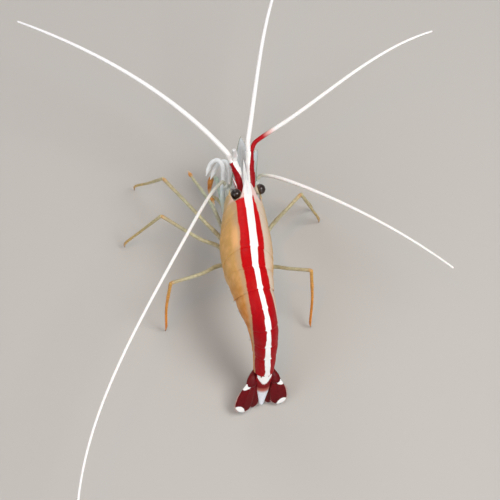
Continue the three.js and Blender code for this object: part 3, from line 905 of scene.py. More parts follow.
@dataclass(frozen=True)
class Gloss:
    """How a surface takes light, apart from its colour."""

    roughness: float = 0.42
    spread: float = 0.1
    coat: float = 0.06
    coat_roughness: float = 0.2
    under: float = 0.12
    under_reach: float = 0.5
    under_colour: Colour = (1.0, 0.45, 0.3)
    opacity: float = 1.0
    mirror: float = 0.16
    refraction: float = 1.5

    def apply(self, graph: Graph) -> None:
        """Sets the shader's plain values, and varies its roughness a little."""
        plain = {
            "Coat Weight": self.coat, "Coat Roughness": self.coat_roughness,
            "IOR": self.refraction, "Specular IOR Level": self.mirror, "Subsurface Weight": self.under,
            "Subsurface Radius": self.under_colour, "Subsurface Scale": self.under_reach * MM,
            "Alpha": self.opacity,
        }
        rough = graph.step(graph.noise(0.35), 0.3, 0.7, self.roughness, self.roughness + self.spread)
        for name, value in (*plain.items(), ("Roughness", rough)):
            graph.feed(graph.shader.inputs[name], value)


@dataclass(frozen=True)
class PaintedFinish:
    """Finish of a limb, blade or feeler.

    The colour runs through stops along the piece. A second colour lies where the marking's
    second value is above zero, and a third where its third value is above a limit.
    """

    name: str
    stops: tuple[tuple[float, Tone], ...]
    patch: Tone | None = None
    rim: Tone | None = None
    rim_from: float = 0.9
    edge: float = 0.05
    mottle: float = 0.25
    mottle_size: float = 0.5
    bump: float = 0.012
    gloss: Gloss = Gloss()

    def build(self) -> bpy.types.Material:
        """The material."""
        graph = Graph(self.name)
        ragged = graph.times(graph.less(graph.noise(0.16), 0.5), 2 * self.edge)
        colour = graph.ramp(graph.along, self.stops) if len(self.stops) > 1 else self.stops[0][1]
        colour = graph.shaded(
            graph.step(graph.noise(self.mottle_size), 0.3, 0.7, 1.0 - self.mottle, 1.0), colour,
        )
        for tone, value, middle, reach in (
            (self.patch, graph.across, 0.0, 0.5 * self.edge),
            (self.rim, graph.round, self.rim_from, self.edge),
        ):
            if tone:
                share = graph.step(graph.plus(value, ragged), middle - reach, middle + reach)
                colour = graph.blend(share, colour, tone)
        graph.feed(graph.shader.inputs["Base Color"], colour)
        self.gloss.apply(graph)
        if self.bump > 0:
            graph.bump(graph.plus(graph.noise(0.12), graph.times(graph.noise(0.5), 0.6)), self.bump)
        return graph.material


@dataclass(frozen=True)
class ShellFinish:
    """Finish of the carapace and abdomen: stripe, red bands and tan flanks.

    The band number chooses the colour, and its sign the side. Each edge is ragged by fine
    noise. Toward the tail the red darkens and the flanks turn amber. A pale strip lies below
    each red band, and is wider on the right.
    """

    name: str = "striped_shell"
    white: Tone = 0xF3F3F2
    scarlet: Tone = 0xCE0006
    carmine: Tone = 0xBA0009
    crimson: Tone = 0xA0000E
    blush: Tone = 0xE4C6C0
    cream: Tone = 0xD4C6B8
    fawn: Tone = 0xBA9A78
    glow: Tone = 0xF0B87C
    moss: Tone = 0xBEAC84
    tan: Tone = 0xC89C5C
    amber: Tone = 0xC27222
    peach: Tone = 0xECB87E
    belly: Tone = 0xDED0B4
    gut: Tone = 0x9E7A54
    length: float = 45.0
    ragged: float = 0.035
    gloss: Gloss = Gloss(0.44, 0.12, 0.05, 0.18, 0.1, 0.6, mirror=0.12)

    def flank(self, graph: Graph, place: object, size: object) -> Socket:
        """Colour of the flanks.

        Args:
            graph: The material's node tree.
            place: Share of the body's length behind the orbit.
            size: Band number without its sign.

        Returns:
            The colour's socket.
        """
        flank = graph.ramp(place, ((0.0, self.moss), (0.16, self.tan), (0.36, self.tan), (0.62, self.amber)))
        streak = graph.step(graph.noise(1.5, 4.0), 0.38, 0.72)
        flank = graph.blend(graph.times(streak, 0.4), flank, self.peach)
        cloud = graph.step(graph.noise(3.2), 0.5, 0.75)
        middle = graph.window(graph.round, 0.3, 0.42, 0.55, 0.75)
        flank = graph.blend(graph.times(graph.times(cloud, middle), 0.35), flank, self.gut)
        near = graph.less(1.0, graph.step(size, 2.04, self.by_side(graph, 2.14, 2.34)))
        pale = graph.blend(self.by_side(graph, 0.0, 1.0), self.fawn, self.cream)
        flank = graph.blend(graph.times(near, 0.85), flank, pale)
        spot = graph.window(graph.along, 7.0, 10.0, 11.5, 14.5)
        ring = graph.window(graph.round, 0.15, 0.2, 0.23, 0.3)
        spot = graph.times(spot, graph.times(ring, self.by_side(graph, 0.75, 0.1)))
        flank = graph.blend(spot, flank, self.glow)
        low = graph.step(graph.round, 0.52, 0.8)
        flank = graph.blend(graph.times(low, 0.7), flank, self.belly)
        dots = graph.step(graph.cells(0.3), 0.08, 0.2, 1.0, 0.0)
        dots = graph.times(graph.times(dots, graph.step(graph.noise(1.8), 0.45, 0.7)), 0.3)
        return graph.blend(dots, flank, self.amber)

    @staticmethod
    def by_side(graph: Graph, left: float, right: float) -> Socket:
        """One value on the animal's left and another on its right."""
        return graph.step(graph.across, -0.5, 0.5, left, right)

    def build(self) -> bpy.types.Material:
        """The material."""
        graph = Graph(self.name)
        place = graph.sum("DIVIDE", graph.along, self.length)
        fray = graph.less(graph.noise(0.16, 3.0), 0.5)
        size = graph.plus(graph.sum("ABSOLUTE", graph.across), graph.times(fray, 2 * self.ragged))
        red = graph.ramp(place, ((0.1, self.scarlet), (0.44, self.carmine), (0.66, self.crimson)))
        red = graph.shaded(graph.step(graph.noise(0.6, 3.0), 0.25, 0.75, 0.84, 1.0), red)
        front = graph.times(graph.step(graph.along, 1.2, 2.6, 1.0, 0.0), graph.step(size, 2.1, 2.3, 1.0, 0.0))
        flank = graph.blend(front, self.flank(graph, place, size), self.blush)
        lead = graph.less(graph.plus(graph.along, graph.times(fray, 1.2)), self.by_side(graph, 1.9, 1.15))
        red = graph.blend(graph.step(lead, -0.1, 0.1, 1.0, 0.0), red, self.blush)
        colour = graph.blend(graph.step(size, 1.975, 2.025), red, flank)
        colour = graph.blend(graph.step(size, 0.965, 1.035), self.white, colour)
        graph.feed(graph.shader.inputs["Base Color"], colour)
        self.gloss.apply(graph)
        pits = graph.times(graph.step(graph.cells(0.16), 0.0, 0.5), 0.4)
        graph.bump(graph.plus(pits, graph.noise(0.9, 3.0)), 0.018, 0.5)
        return graph.material


WHITE = 0xF3F3F2
BLOOD = 0xA0000C
CLEAR_GLOW = (0.9, 0.9, 0.7)
BLACK = 0x000000
PURE = 0xFFFFFF
HORN = Gloss(0.35, 0.1, 0.12, 0.15, 0.25, 0.5, CLEAR_GLOW)
HONEY = Gloss(0.35, 0.1, 0.12, 0.15, 0.25, 0.5, (1.0, 0.8, 0.5))
AMBER = Gloss(0.35, 0.1, 0.12, 0.15, 0.25, 0.5, (1.0, 0.7, 0.4))
DULL = Gloss(under=0.0, coat=0.0)
CLEAR = Gloss(under=0.3, under_reach=0.6, under_colour=(1.0, 0.95, 0.9))

FINISHES = {
    made.name: made for made in (
        PaintedFinish(
            "rostrum", ((0.0, WHITE), (1.0, WHITE)), rim=0xE0C4C2, rim_from=0.6, mottle=0.05, edge=0.1,
            bump=0.005,
        ),
        PaintedFinish("feeler", ((0.0, WHITE), (1.0, 0xEEF0F4)), mottle=0.06, bump=0.0, gloss=CLEAR),
        PaintedFinish(
            "red_based_feeler", ((0.0, 0xA4000E), (0.1, 0xB00212), (0.135, 0xE2B4AE), (0.17, WHITE)),
            mottle=0.06, bump=0.0,
        ),
        PaintedFinish(
            "grey_based_feeler", ((0.0, 0xACB09E), (0.04, 0xBEC0B2), (0.09, 0xE8E8E4), (0.16, WHITE)),
            mottle=0.06, bump=0.0,
        ),
        PaintedFinish("antennule", ((0.0, BLOOD), (1.0, 0xA00012)), patch=WHITE, mottle=0.15, bump=0.006),
        PaintedFinish(
            "antenna", ((0.0, 0xCEC4AE), (0.5, 0xC4CAC0), (1.0, 0xC4CCC8)),
            gloss=Gloss(0.35, 0.1, 0.15, 0.15, 0.3, 0.8, CLEAR_GLOW),
        ),
        PaintedFinish(
            "blade", ((0.0, 0x70000A), (1.0, 0x5C0008)), patch=WHITE, rim=0xB04642, rim_from=0.96, mottle=0.2,
            bump=0.006,
        ),
        PaintedFinish(
            "telson", ((0.0, 0x960010), (0.42, 0x7C000C), (0.52, 0xB86E60), (0.6, 0xDEE4EC), (1.0, 0xE8EEF6)),
            patch=WHITE, mottle=0.08, bump=0.006,
        ),
        PaintedFinish(
            "eye", ((0.0, 0xA0925C), (0.3, 0x7A6436), (0.42, 0x422C1A), (0.56, 0x2E1C14), (1.0, 0x1E100E)),
            mottle=0.35, mottle_size=0.22, bump=0.0, gloss=Gloss(0.3, 0.06, 0.5, 0.1, 0.0, mirror=0.3),
        ),
        PaintedFinish(
            "stalk", ((0.0, 0xE4B8AA), (0.45, 0xF2E8DE), (1.0, 0xC4BC96)),
            gloss=Gloss(0.35, 0.1, 0.15, 0.15, 0.25, 0.5),
        ),
        PaintedFinish(
            "leg", ((0.0, 0xD6CCAC), (0.3, 0xBEB694), (0.75, 0xB4B092), (0.95, 0xBAAC88), (1.0, 0xCEA068)),
            gloss=HONEY,
        ),
        PaintedFinish(
            "shank", ((0.0, 0xD6A65C), (0.12, 0xDCA454), (0.6, 0xE49234), (0.93, 0xE28A30), (1.0, 0x784822)),
            gloss=AMBER,
        ),
        PaintedFinish(
            "tan_shank",
            ((0.0, 0xC4BA92), (0.3, 0xBEB286), (0.75, 0xC4AA70), (0.94, 0xCC9C5C), (1.0, 0x784822)),
            gloss=HONEY,
        ),
        PaintedFinish(
            "claw_leg",
            (
                (0.0, 0xD6D4BE), (0.45, 0xBAD8CC), (0.78, 0xC8DED2), (0.83, 0xCA8A42), (0.95, 0xBA7634),
                (1.0, 0xE2C4A0),
            ),
            gloss=HORN,
        ),
        PaintedFinish(
            "slim_leg",
            (
                (0.0, 0xD0CAB2), (0.6, 0xBAC0A8), (0.87, 0xC2BA96), (0.9, 0xE29C4E), (0.95, 0xE8B270),
                (1.0, 0xF6F4EE),
            ),
            gloss=HORN,
        ),
        PaintedFinish(
            "hook", ((0.0, 0xDCD6C6), (0.35, 0xC4D4CE), (0.52, 0xECF4F8), (1.0, 0xF2F8FC)), mottle=0.08,
            bump=0.006, gloss=Gloss(0.25, 0.1, 0.3, 0.1, 0.25, 0.5, (0.9, 0.9, 0.9)),
        ),
        PaintedFinish(
            "glassy", ((0.0, 0xC4CCCA), (1.0, 0xD6E0E6)), patch=0xECF0F0, rim=0xA0AA92, rim_from=0.84,
            mottle=0.1, bump=0.006, gloss=Gloss(0.2, 0.08, 0.5, 0.06, 0.0, opacity=0.55),
        ),
        PaintedFinish(
            "swimmeret", ((0.0, 0xDCCAAE), (0.5, 0xE4DAC8), (1.0, 0xE6E2D6)), rim=0xC86E64, rim_from=0.97,
            gloss=Gloss(0.25, 0.08, 0.4, 0.1, 0.2, 0.5),
        ),
        PaintedFinish(
            "flesh", ((0.0, 0xD4BC94), (0.86, 0xD2BA98), (1.0, 0xE4C8BE)), mottle=0.25, mottle_size=0.9,
            gloss=Gloss(0.35, 0.12, 0.3, 0.15, 0.3, 0.8),
        ),
        PaintedFinish("bristle", ((0.0, 0xECEAE2),), mottle=0.0, bump=0.0, gloss=DULL),
        PaintedFinish("red_bristle", ((0.0, 0xD6B0A6),), mottle=0.0, bump=0.0, gloss=DULL),
    )
}


# --- workshop


def stand(name: str, data: bpy.types.ID) -> bpy.types.Object:
    """Object of a mesh, lamp or camera, standing in the scene at the origin."""
    made = bpy.data.objects.new(name, data)
    bpy.context.scene.collection.objects.link(made)
    return made


class Workshop:
    """Turns surfaces into finished pieces in the frame, and keeps one material of each finish."""

    def __init__(self, body: Body) -> None:
        """Finds the shift from the animal's coordinates to the frame's.

        Args:
            body: The body, whose left eye is matched with the frame's.
        """
        self.body = body
        self.materials: dict[str, bpy.types.Material] = {}
        low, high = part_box("eye_left")
        middle = np.array((low + high) / 2) / MM
        self.shift = middle - body.in_head([Eyes.solid_left])[0]
        self.count = 0

    def material(self, finish: PaintedFinish | ShellFinish) -> bpy.types.Material:
        """The finish's material, built when it is first asked for."""
        if finish.name not in self.materials:
            self.materials[finish.name] = finish.build()
        return self.materials[finish.name]

    def place(
        self, name: str, surface: Surface, finish: PaintedFinish | ShellFinish, slot: Slot, node: str = ""
    ) -> None:
        """Writes a surface as a piece of the model.

        Args:
            name: Name of the piece.
            surface: Its shape, in the animal's own coordinates.
            finish: Its finish.
            slot: The record's material slot; not used.
            node: The frame's node that it stands for.
        """
        mesh = bpy.data.meshes.new(name)
        points = (surface.points + self.shift) * MM
        mesh.from_pydata(points.tolist(), [], surface.quads.tolist() + surface.triangles.tolist())
        mesh.polygons.foreach_set("use_smooth", np.ones(len(mesh.polygons), bool))
        marking = mesh.attributes.new(MARKING, "FLOAT_VECTOR", "POINT")
        marking.data.foreach_set("vector", surface.marks.astype(np.float32).ravel())
        if surface.roots is not None:
            corners = np.zeros(len(mesh.loops), int)
            mesh.loops.foreach_get("vertex_index", corners)
            layer = mesh.uv_layers.new(name="OFBake")
            layer.data.foreach_set("uv", surface.roots[corners].astype(np.float32).ravel())
        mesh.update()
        mesh.materials.append(self.material(finish))
        made = stand(name, mesh)
        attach(made, "root")
        if node:
            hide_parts(node)
        self.count += 1
        log.info("%s: %d points, %d faces", name, len(mesh.vertices), len(mesh.polygons))


# --- carapace and rostrum


@dataclass(frozen=True)
class Carapace:
    """Shell over the head and trunk, the rostrum in front of it and the flesh inside."""

    body: Body
    rear: float = 13.3
    rear_sweep: float = 1.2
    lap: float = 0.25
    lower_edge: float = 148.0
    thickness: float = 0.24
    ridge: float = 0.14
    flare: float = 0.09
    groove: float = 0.13
    gill: float = 0.22
    seam: float = 0.08
    hem: float = 0.16
    rows: int = 90
    columns: int = 121
    left_front: ClassVar[tuple[Table, Table]] = (
        (0, 5, 9, 13, 17, 21, 26, 33, 40, 46, 53, 60, 66, 80, 105, 125, 148),
        (-2.6, -2.1, -1.3, -0.3, 0.8, 1.6, 2.05, 2.15, 1.95, 1.3, 0.3, -0.5, -0.6, -1.0, -1.1, -0.4, 1.7),
    )
    right_front: ClassVar[tuple[Table, Table]] = (
        (0, 7, 13, 19, 25, 31, 37, 44, 51, 60, 66, 80, 105, 125, 148),
        (-2.6, -2.4, -2.0, -1.4, -0.6, 0.4, 1.2, 1.5, 0.8, -0.5, -0.6, -1.0, -1.1, -0.4, 1.7),
    )

    def front(self, angle: Array) -> Array:
        """Front margin's distance behind the orbit, from each side's table at the angle's size."""
        size = np.abs(angle)
        return np.where(angle < 0, np.interp(size, *self.left_front), np.interp(size, *self.right_front))

    def shell(self) -> Surface:
        """The shield: rows run from the front margin to the rear, columns round the back.

        The outline is pushed out by a post-rostral ridge, a flare at the rear margin, the bulge
        of the gill chamber and a hem, and in by the groove behind the jaws and a seam.
        """
        share, across = grid(self.rows, self.columns)
        edge = self.lower_edge - 10 * ease(0.82, 1.0, share) - 16 * ease(0.12, 0.0, share)
        angle = across * edge
        rear = self.rear + self.rear_sweep * (1 - np.cos(np.radians(angle))) / 2 + self.lap
        front = self.front(angle)
        distance = front + (rear - front) * share
        size = np.abs(angle)
        swell = self.ridge * np.exp(-((angle / 9.0) ** 2)) * ease(6.5, 0.5, distance)
        swell = swell + self.flare * ease(0.94, 1.0, share)
        groove = bell(distance, 4.6 + 0.028 * np.clip(size - 20, 0, None), 0.4)
        swell = swell - self.groove * groove * ease(22, 45, size) * (1 - ease(80, 105, size))
        swell = swell + self.gill * bell(distance, 8.5, 3.2) * bell(size, 96, 26)
        swell = swell - self.seam * bell(size, 66 + 1.2 * distance, 4.0) * ease(4.5, 7.0, distance)
        swell = swell + self.hem * bell(size, edge - 4, 5)
        return shell_sheet(self.body, distance, angle, swell, self.thickness / 2 * rim(share, across, 14, 24))

    def spines(self) -> Surface:
        """Antennal and pterygostomian spines: a cone ahead of the margin on each side."""
        made = []
        for angle, length, radius in ((60.0, 1.1, 0.24), (112.0, 0.7, 0.18)):
            for side in Side:
                turn = np.array([side.value * angle] * 8)
                front = self.front(turn)
                distance = front + 0.5 - (length + 0.5) * np.linspace(0, 1, 8)
                path = self.body.surface(distance, turn, 0.02)
                radii = radius * (1 - np.linspace(0, 1, 8) ** 1.4) + 0.02
                spine = rod(path, radii, 8)
                spine.marks = np.tile(self.body.marks(front[:1] + 0.4, turn[:1]), (len(spine.points), 1))
                made.append(spine)
        return Surface.joined(made)

    def spear_line(self, distance: Array) -> tuple[Array, Array, Array, Array]:
        """Share of the spear's length, its root's share, its top above the back and its depth."""
        share = np.clip(-distance / self.body.spine.rostrum, 0, 1)
        root = ease(3.2, -0.2, distance)
        top = -0.12 + 0.36 * ease(3.4, 0.4, distance) - 0.22 * share
        return share, root, top, (0.5 + 0.8 * root) * (1 - 0.8 * share**0.9)

    def spear(self) -> Surface:
        """Body of the rostrum: a spear with a roof-shaped top that grows out of the shield.

        The place across is the half width times the sine, times one minus half the cosine to
        the power 1.5 above the middle, so that the section narrows upward.
        """
        rows, sides = 130, 28
        distance = np.linspace(3.2, -self.body.spine.rostrum, rows)
        share, root, top, depth = self.spear_line(distance)
        half = (0.34 + 0.36 * root) * (1 - 0.9 * share**0.85)
        turns = 2 * np.pi * np.arange(sides) / sides
        sine, cosine = np.sin(turns)[None], np.cos(turns)[None]
        across = half[:, None] * sine * (1 - 0.5 * np.clip(cosine, 0, 1) ** 1.5)
        low = (1 - cosine) / 2
        rings = self.body.along(distance, across, top[:, None] - depth[:, None] * low)
        marks = plain_marks(share[:, None], across)
        marks[..., 2] = low
        return Surface.tube(rings, marks)

    def crest(self, above: bool) -> Surface:
        """Thin saw-toothed blade along the top or the underside of the spear.

        Each tooth falls from its point backwards as a slope to the power 1.3, and drops
        steeply in front.
        """
        points = (2.6, 1.1, -0.4, -1.8, -3.1, -4.3, -5.4) if above else (-3.6, -4.9, -6.1)
        distance = np.linspace(4.2, -6.4, 420) if above else np.linspace(-2.4, -6.9, 200)
        share, _, top, depth = self.spear_line(distance)
        reach = 1.4 if above else 1.1
        tooth = np.zeros_like(distance)
        for point in points:
            back = distance - point
            slope = np.clip(1 - np.clip(back, 0, None) / reach, 0, 1) ** 1.3
            tooth = np.maximum(tooth, slope * ease(-0.1, 0.0, back))
        fade = 1 - 0.5 * share
        ends = ease(distance[0], distance[0] - 0.5, distance) * ease(
            distance[-1], distance[-1] + 0.3, distance,
        )
        tooth = tooth * fade * ends * (0.4 if above else 0.22)
        base = top - (0.0 if above else 1.0) * depth
        sign = 1 if above else -1
        middle = base + sign * (tooth / 2 - 0.08)
        half_height = tooth / 2 + 0.08
        turns = 2 * np.pi * np.arange(10) / 10
        across = 0.075 * fade[:, None] * np.sin(turns)[None]
        up = middle[:, None] + half_height[:, None] * np.cos(turns)[None]
        return Surface.tube(self.body.along(distance, across, up), plain_marks(share[:, None], across))

    def flesh(self) -> Surface:
        """Flesh inside the shield and the front of the head, closed in front like a blunt cone."""
        share = np.linspace(0, 1, 40)
        inset = -(0.3 + 1.5 * ease(0.72, 1.0, share) ** 2)
        place, angle = rounds(12.6 - 13.4 * share, 48)
        rings = self.body.surface(place, angle, np.broadcast_to(inset[:, None], angle.shape))
        return Surface.tube(rings, plain_marks(share[:, None], angle))

    def build(self, shop: Workshop) -> None:
        """Makes the pieces."""
        shell = Surface.joined([self.shell(), self.spines()])
        shop.place("carapace_shell", shell, ShellFinish(), Slot.SHELL, "carapace")
        blade = Surface.joined([self.spear(), self.crest(True), self.crest(False)])
        shop.place("rostrum_blade", blade, FINISHES["rostrum"], Slot.SHELL, "rostrum")
        shop.place("head_flesh", self.flesh(), FINISHES["flesh"], Slot.SHELL)


# --- abdomen


@dataclass(frozen=True)
class Plate:
    """One shell plate of the abdomen, between two margins.

    Sweep is how far a margin's lower sides run back past its middle. A lap is how far a margin
    reaches past its place, and the rise is how far it stands out there, on the back and on the side.
    """

    number: int
    front: float
    rear: float
    front_sweep: float
    rear_sweep: float
    lower_edge: float
    front_rise: tuple[float, float] = (-0.16, -0.16)
    rear_rise: tuple[float, float] = (0.07, 0.07)
    lobe: float = 18.0


@dataclass(frozen=True)
class Abdomen:
    """The six plates of the abdomen and the soft belly beneath them."""

    body: Body
    thickness: float = 0.2
    front_lap: float = 0.55
    rear_lap: float = 0.22
    plates: tuple[Plate, ...] = (
        Plate(1, 13.3, 17.4, 1.2, -1.0, 128, rear_rise=(0.05, -0.12)),
        Plate(2, 17.4, 21.4, -1.0, 1.3, 142, front_rise=(-0.16, 0.12), rear_rise=(0.05, 0.12), lobe=30),
        Plate(3, 21.4, 29.2, 1.3, 0.7, 138, lobe=24), Plate(4, 29.2, 33.3, 0.7, 0.5, 134, lobe=26),
        Plate(5, 33.3, 36.7, 0.5, 0.4, 130, lobe=26), Plate(6, 36.7, 41.6, 0.4, 0.0, 150, lobe=10),
    )

    def plate(self, plate: Plate, rows: int = 44, columns: int = 101) -> Surface:
        """A plate: rows run backwards between its margins, columns round the back.

        Its lower edge is highest at the corners, by a fourth power of the place along, so that
        it hangs down as a rounded lobe.

        Args:
            plate: Its measures.
            rows: Stations along.
            columns: Stations across.

        Returns:
            The closed surface of the plate.
        """
        share, across = grid(rows, columns)
        angle = across * (plate.lower_edge - plate.lobe * (2 * share - 1) ** 4)
        turn = (1 - np.cos(np.radians(angle))) / 2
        front = plate.front + plate.front_sweep * turn - self.front_lap * (1 - 0.7 * turn)
        rear = plate.rear + plate.rear_sweep * turn + self.rear_lap * (1 - 0.5 * turn)
        distance = front + (rear - front) * share
        side = ease(50, 85, np.abs(angle))
        at_front, at_rear = (
            rise[0] + (rise[1] - rise[0]) * side for rise in (plate.front_rise, plate.rear_rise)
        )
        swell = at_front * ease(0.3, 0.0, share) + at_rear * ease(0.78, 1.0, share)
        swell = swell + 0.1 * bell(share, 0.55, 0.3) + 0.1 * bell(np.abs(across), 0.97, 0.05)
        return shell_sheet(self.body, distance, angle, swell, self.thickness / 2 * rim(share, across, 12, 16))

    def belly(self) -> Surface:
        """Soft body inside the plates: the outline set in by a little, ribbed at each segment."""
        distance = np.linspace(11.5, 41.3, 150)
        place, angle = rounds(distance, 48)
        under = ease(95, 150, np.abs(angle))
        ribs = sum(bell(place, plate.rear + 0.3, 0.45) for plate in self.plates)
        inset = -0.3 - 0.35 * under + 0.16 * ribs * under
        share = (place - distance[0]) / (distance[-1] - distance[0])
        return Surface.tube(self.body.surface(place, angle, inset), plain_marks(share, share))

    def build(self, shop: Workshop) -> None:
        """Makes the pieces."""
        for plate in self.plates:
            name = f"abdomen_{plate.number}"
            shop.place(f"{name}_plate", self.plate(plate), ShellFinish(), Slot.SHELL, name)
        shop.place("belly_flesh", self.belly(), FINISHES["flesh"], Slot.SHELL)


# --- tail fan


@dataclass(frozen=True)
class FanSide:
    """Joints and tips of one side of the tail fan, behind, right of and above the last plate."""

    side: Side
    hip: Place
    knee: Place
    outer_tip: Place
    inner_tip: Place
    tip_spot: tuple[float, float] = (0.93, 0.45)
    root_spot: tuple[float, float] = (0.09, 0.8)


@dataclass(frozen=True)
class TailFan:
    """Telson and both uropods with their fringes."""

    body: Body
    sides: tuple[FanSide, ...] = (
        FanSide(Side.LEFT, (1.1, -1.3, -1.9), (2.7, -2.3, -0.5), (8.9, -3.95, 1.1), (9.1, -1.8, 0.2)),
        FanSide(Side.RIGHT, (1.1, 1.4, -1.9), (2.6, 2.2, -0.7), (8.5, 3.2, 0.5), (8.9, 1.4, -0.3)),
    )
    outer_root: Place = (-0.1, 0.15, 0.25)
    inner_root: Place = (0.2, -0.5, -0.2)
    outer_stations: Table = (0, 0.2, 0.45, 0.75, 0.92, 1)
    outer_halves: Table = (0.7, 1.15, 1.5, 1.55, 1.3, 0.95)
    inner_stations: Table = (0, 0.2, 0.5, 0.8, 0.94, 1)
    inner_halves: Table = (0.6, 1.0, 1.3, 1.2, 0.9, 0.6)
    telson_length: float = 8.6

    def telson(self) -> Surface:
        """The telson: a wedge that narrows to its end, with a low ridge.

        Its marking's second value is above zero inside the white crescent at its root.
        """
        share, across = grid(70, 33)
        distance = self.body.spine.telson_start + 0.05 + (self.telson_length - 0.1) * share
        half = np.interp(share, (0, 0.12, 0.3, 0.6, 0.9, 1), (1.3, 1.5, 1.36, 0.98, 0.5, 0.34))
        half = half * np.clip(1 - (2 * share - 1) ** 30, 0.02, 1) ** 0.5
        depth = np.interp(share, (0, 1), (1.5, 0.4))
        arch = depth * 0.45 * (1 - across**2) - depth * 0.45
        down = (0.12 + depth * 0.55 * (1 - across**2)) * rim(share, across, 6, 16)
        frames = self.body.spine.at(distance)
        outer, inner = (frames.offset(0.0, half * across, up) for up in (arch, arch - down))
        return Surface.pillow(
            outer, inner, np.stack([share, self.crescent(share, across), across * 0], axis=-1),
        )

    @staticmethod
    def crescent(share: Array, across: Array) -> Array:
        """Above zero in the crescent: a band whose lower edge falls as a parabola to the middle."""
        lower = 0.3 - 0.26 * across**2
        upper = 0.16 - 0.3 * across**2
        stripe = (0.42 - np.abs(across)) * 2
        return np.maximum(np.minimum(lower - share, share - upper), np.minimum(stripe, lower - share))

    def leaf(self, fan: FanSide, outer: bool) -> Leaf:
        """Outer or inner blade of a side."""
        root = np.array(self.outer_root if outer else self.inner_root) * (1, fan.side.value, 1)
        base = self.body.in_tail([np.array(fan.knee) + root])[0]
        tip = self.body.in_tail([fan.outer_tip if outer else fan.inner_tip])[0]
        return Leaf(
            base, tip, self.body.spine.at(self.body.spine.telson_start).up,
            self.outer_stations if outer else self.inner_stations,
            self.outer_halves if outer else self.inner_halves, thickness=0.3, camber=0.12, rib=0.3,
            edge_rib=0.16 if outer else 0.0,
        )

    def blade(self, fan: FanSide, outer: bool) -> Surface:
        """A blade with its white spots, which lie on the outer edge of the outer blade."""
        leaf = self.leaf(fan, outer)
        share, across = grid()
        length, half = leaf.axes()[3], leaf.half(share)
        white = np.full(share.shape, -1.0)
        for place, edge, size in ((*fan.tip_spot, 0.95), (*fan.root_spot, 0.75)) if outer else ():
            gap = np.hypot((share - place) * length, (across * -fan.side.value - edge) * half)
            white = np.maximum(white, (size - gap) * 0.5)
        return leaf.surface((white, np.abs(across) * 0.9 + 0.1 * share))

    def base(self, fan: FanSide) -> Surface:
        """The base that carries both blades: a rod flattened toward the blades."""
        end = np.array(fan.knee) + (0.75, 0.3 * fan.side.value, 0.1)
        path = smooth_curve(self.body.in_tail([(-0.3, fan.hip[1] * 0.6, -1.7), fan.hip, fan.knee, end]), 40)
        share = np.linspace(0, 1, 40)
        radii = (0.6 + 0.36 * bell(share, 0.72, 0.3)) * rounded(0.86, 1.01, share)
        across = self.body.spine.at(self.body.spine.telson_start).right
        return rod(path, radii, 18, across, offset=-3, flat=0.62)

    def fringes(self) -> Surface:
        """Bristles round the ends of the blades."""
        made = []
        for seed, fan in enumerate(self.sides):
            for outer in (True, False):
                edges = (0.3, 0.8, 0.7, 0.4) if fan.side is Side.RIGHT else (0.8, 0.3, 0.4, 0.7)
                edges = edges if outer else (0.35, 0.35, 0.7, 0.7)
                made.append(self.leaf(fan, outer).fringe(110, 0.75, edges, 10 * seed + outer))
        return Surface.joined(made)

    def build(self, shop: Workshop) -> None:
        """Makes the pieces."""
        shop.place("telson_wedge", self.telson(), FINISHES["telson"], Slot.TAIL_FAN, "telson")
        for fan in self.sides:
            label = fan.side.label
            for outer, kind in ((True, "outer"), (False, "inner")):
                name = f"uropod_{kind}_{label}"
                shop.place(f"{name}_blade", self.blade(fan, outer), FINISHES["blade"], Slot.TAIL_FAN, name)
            name = f"uropod_base_{label}"
            shop.place(f"{name}_joint", self.base(fan), FINISHES["blade"], Slot.TAIL_FAN, name)
        shop.place("tail_fringe", self.fringes(), FINISHES["red_bristle"], Slot.TAIL_FAN)


# --- swimming legs


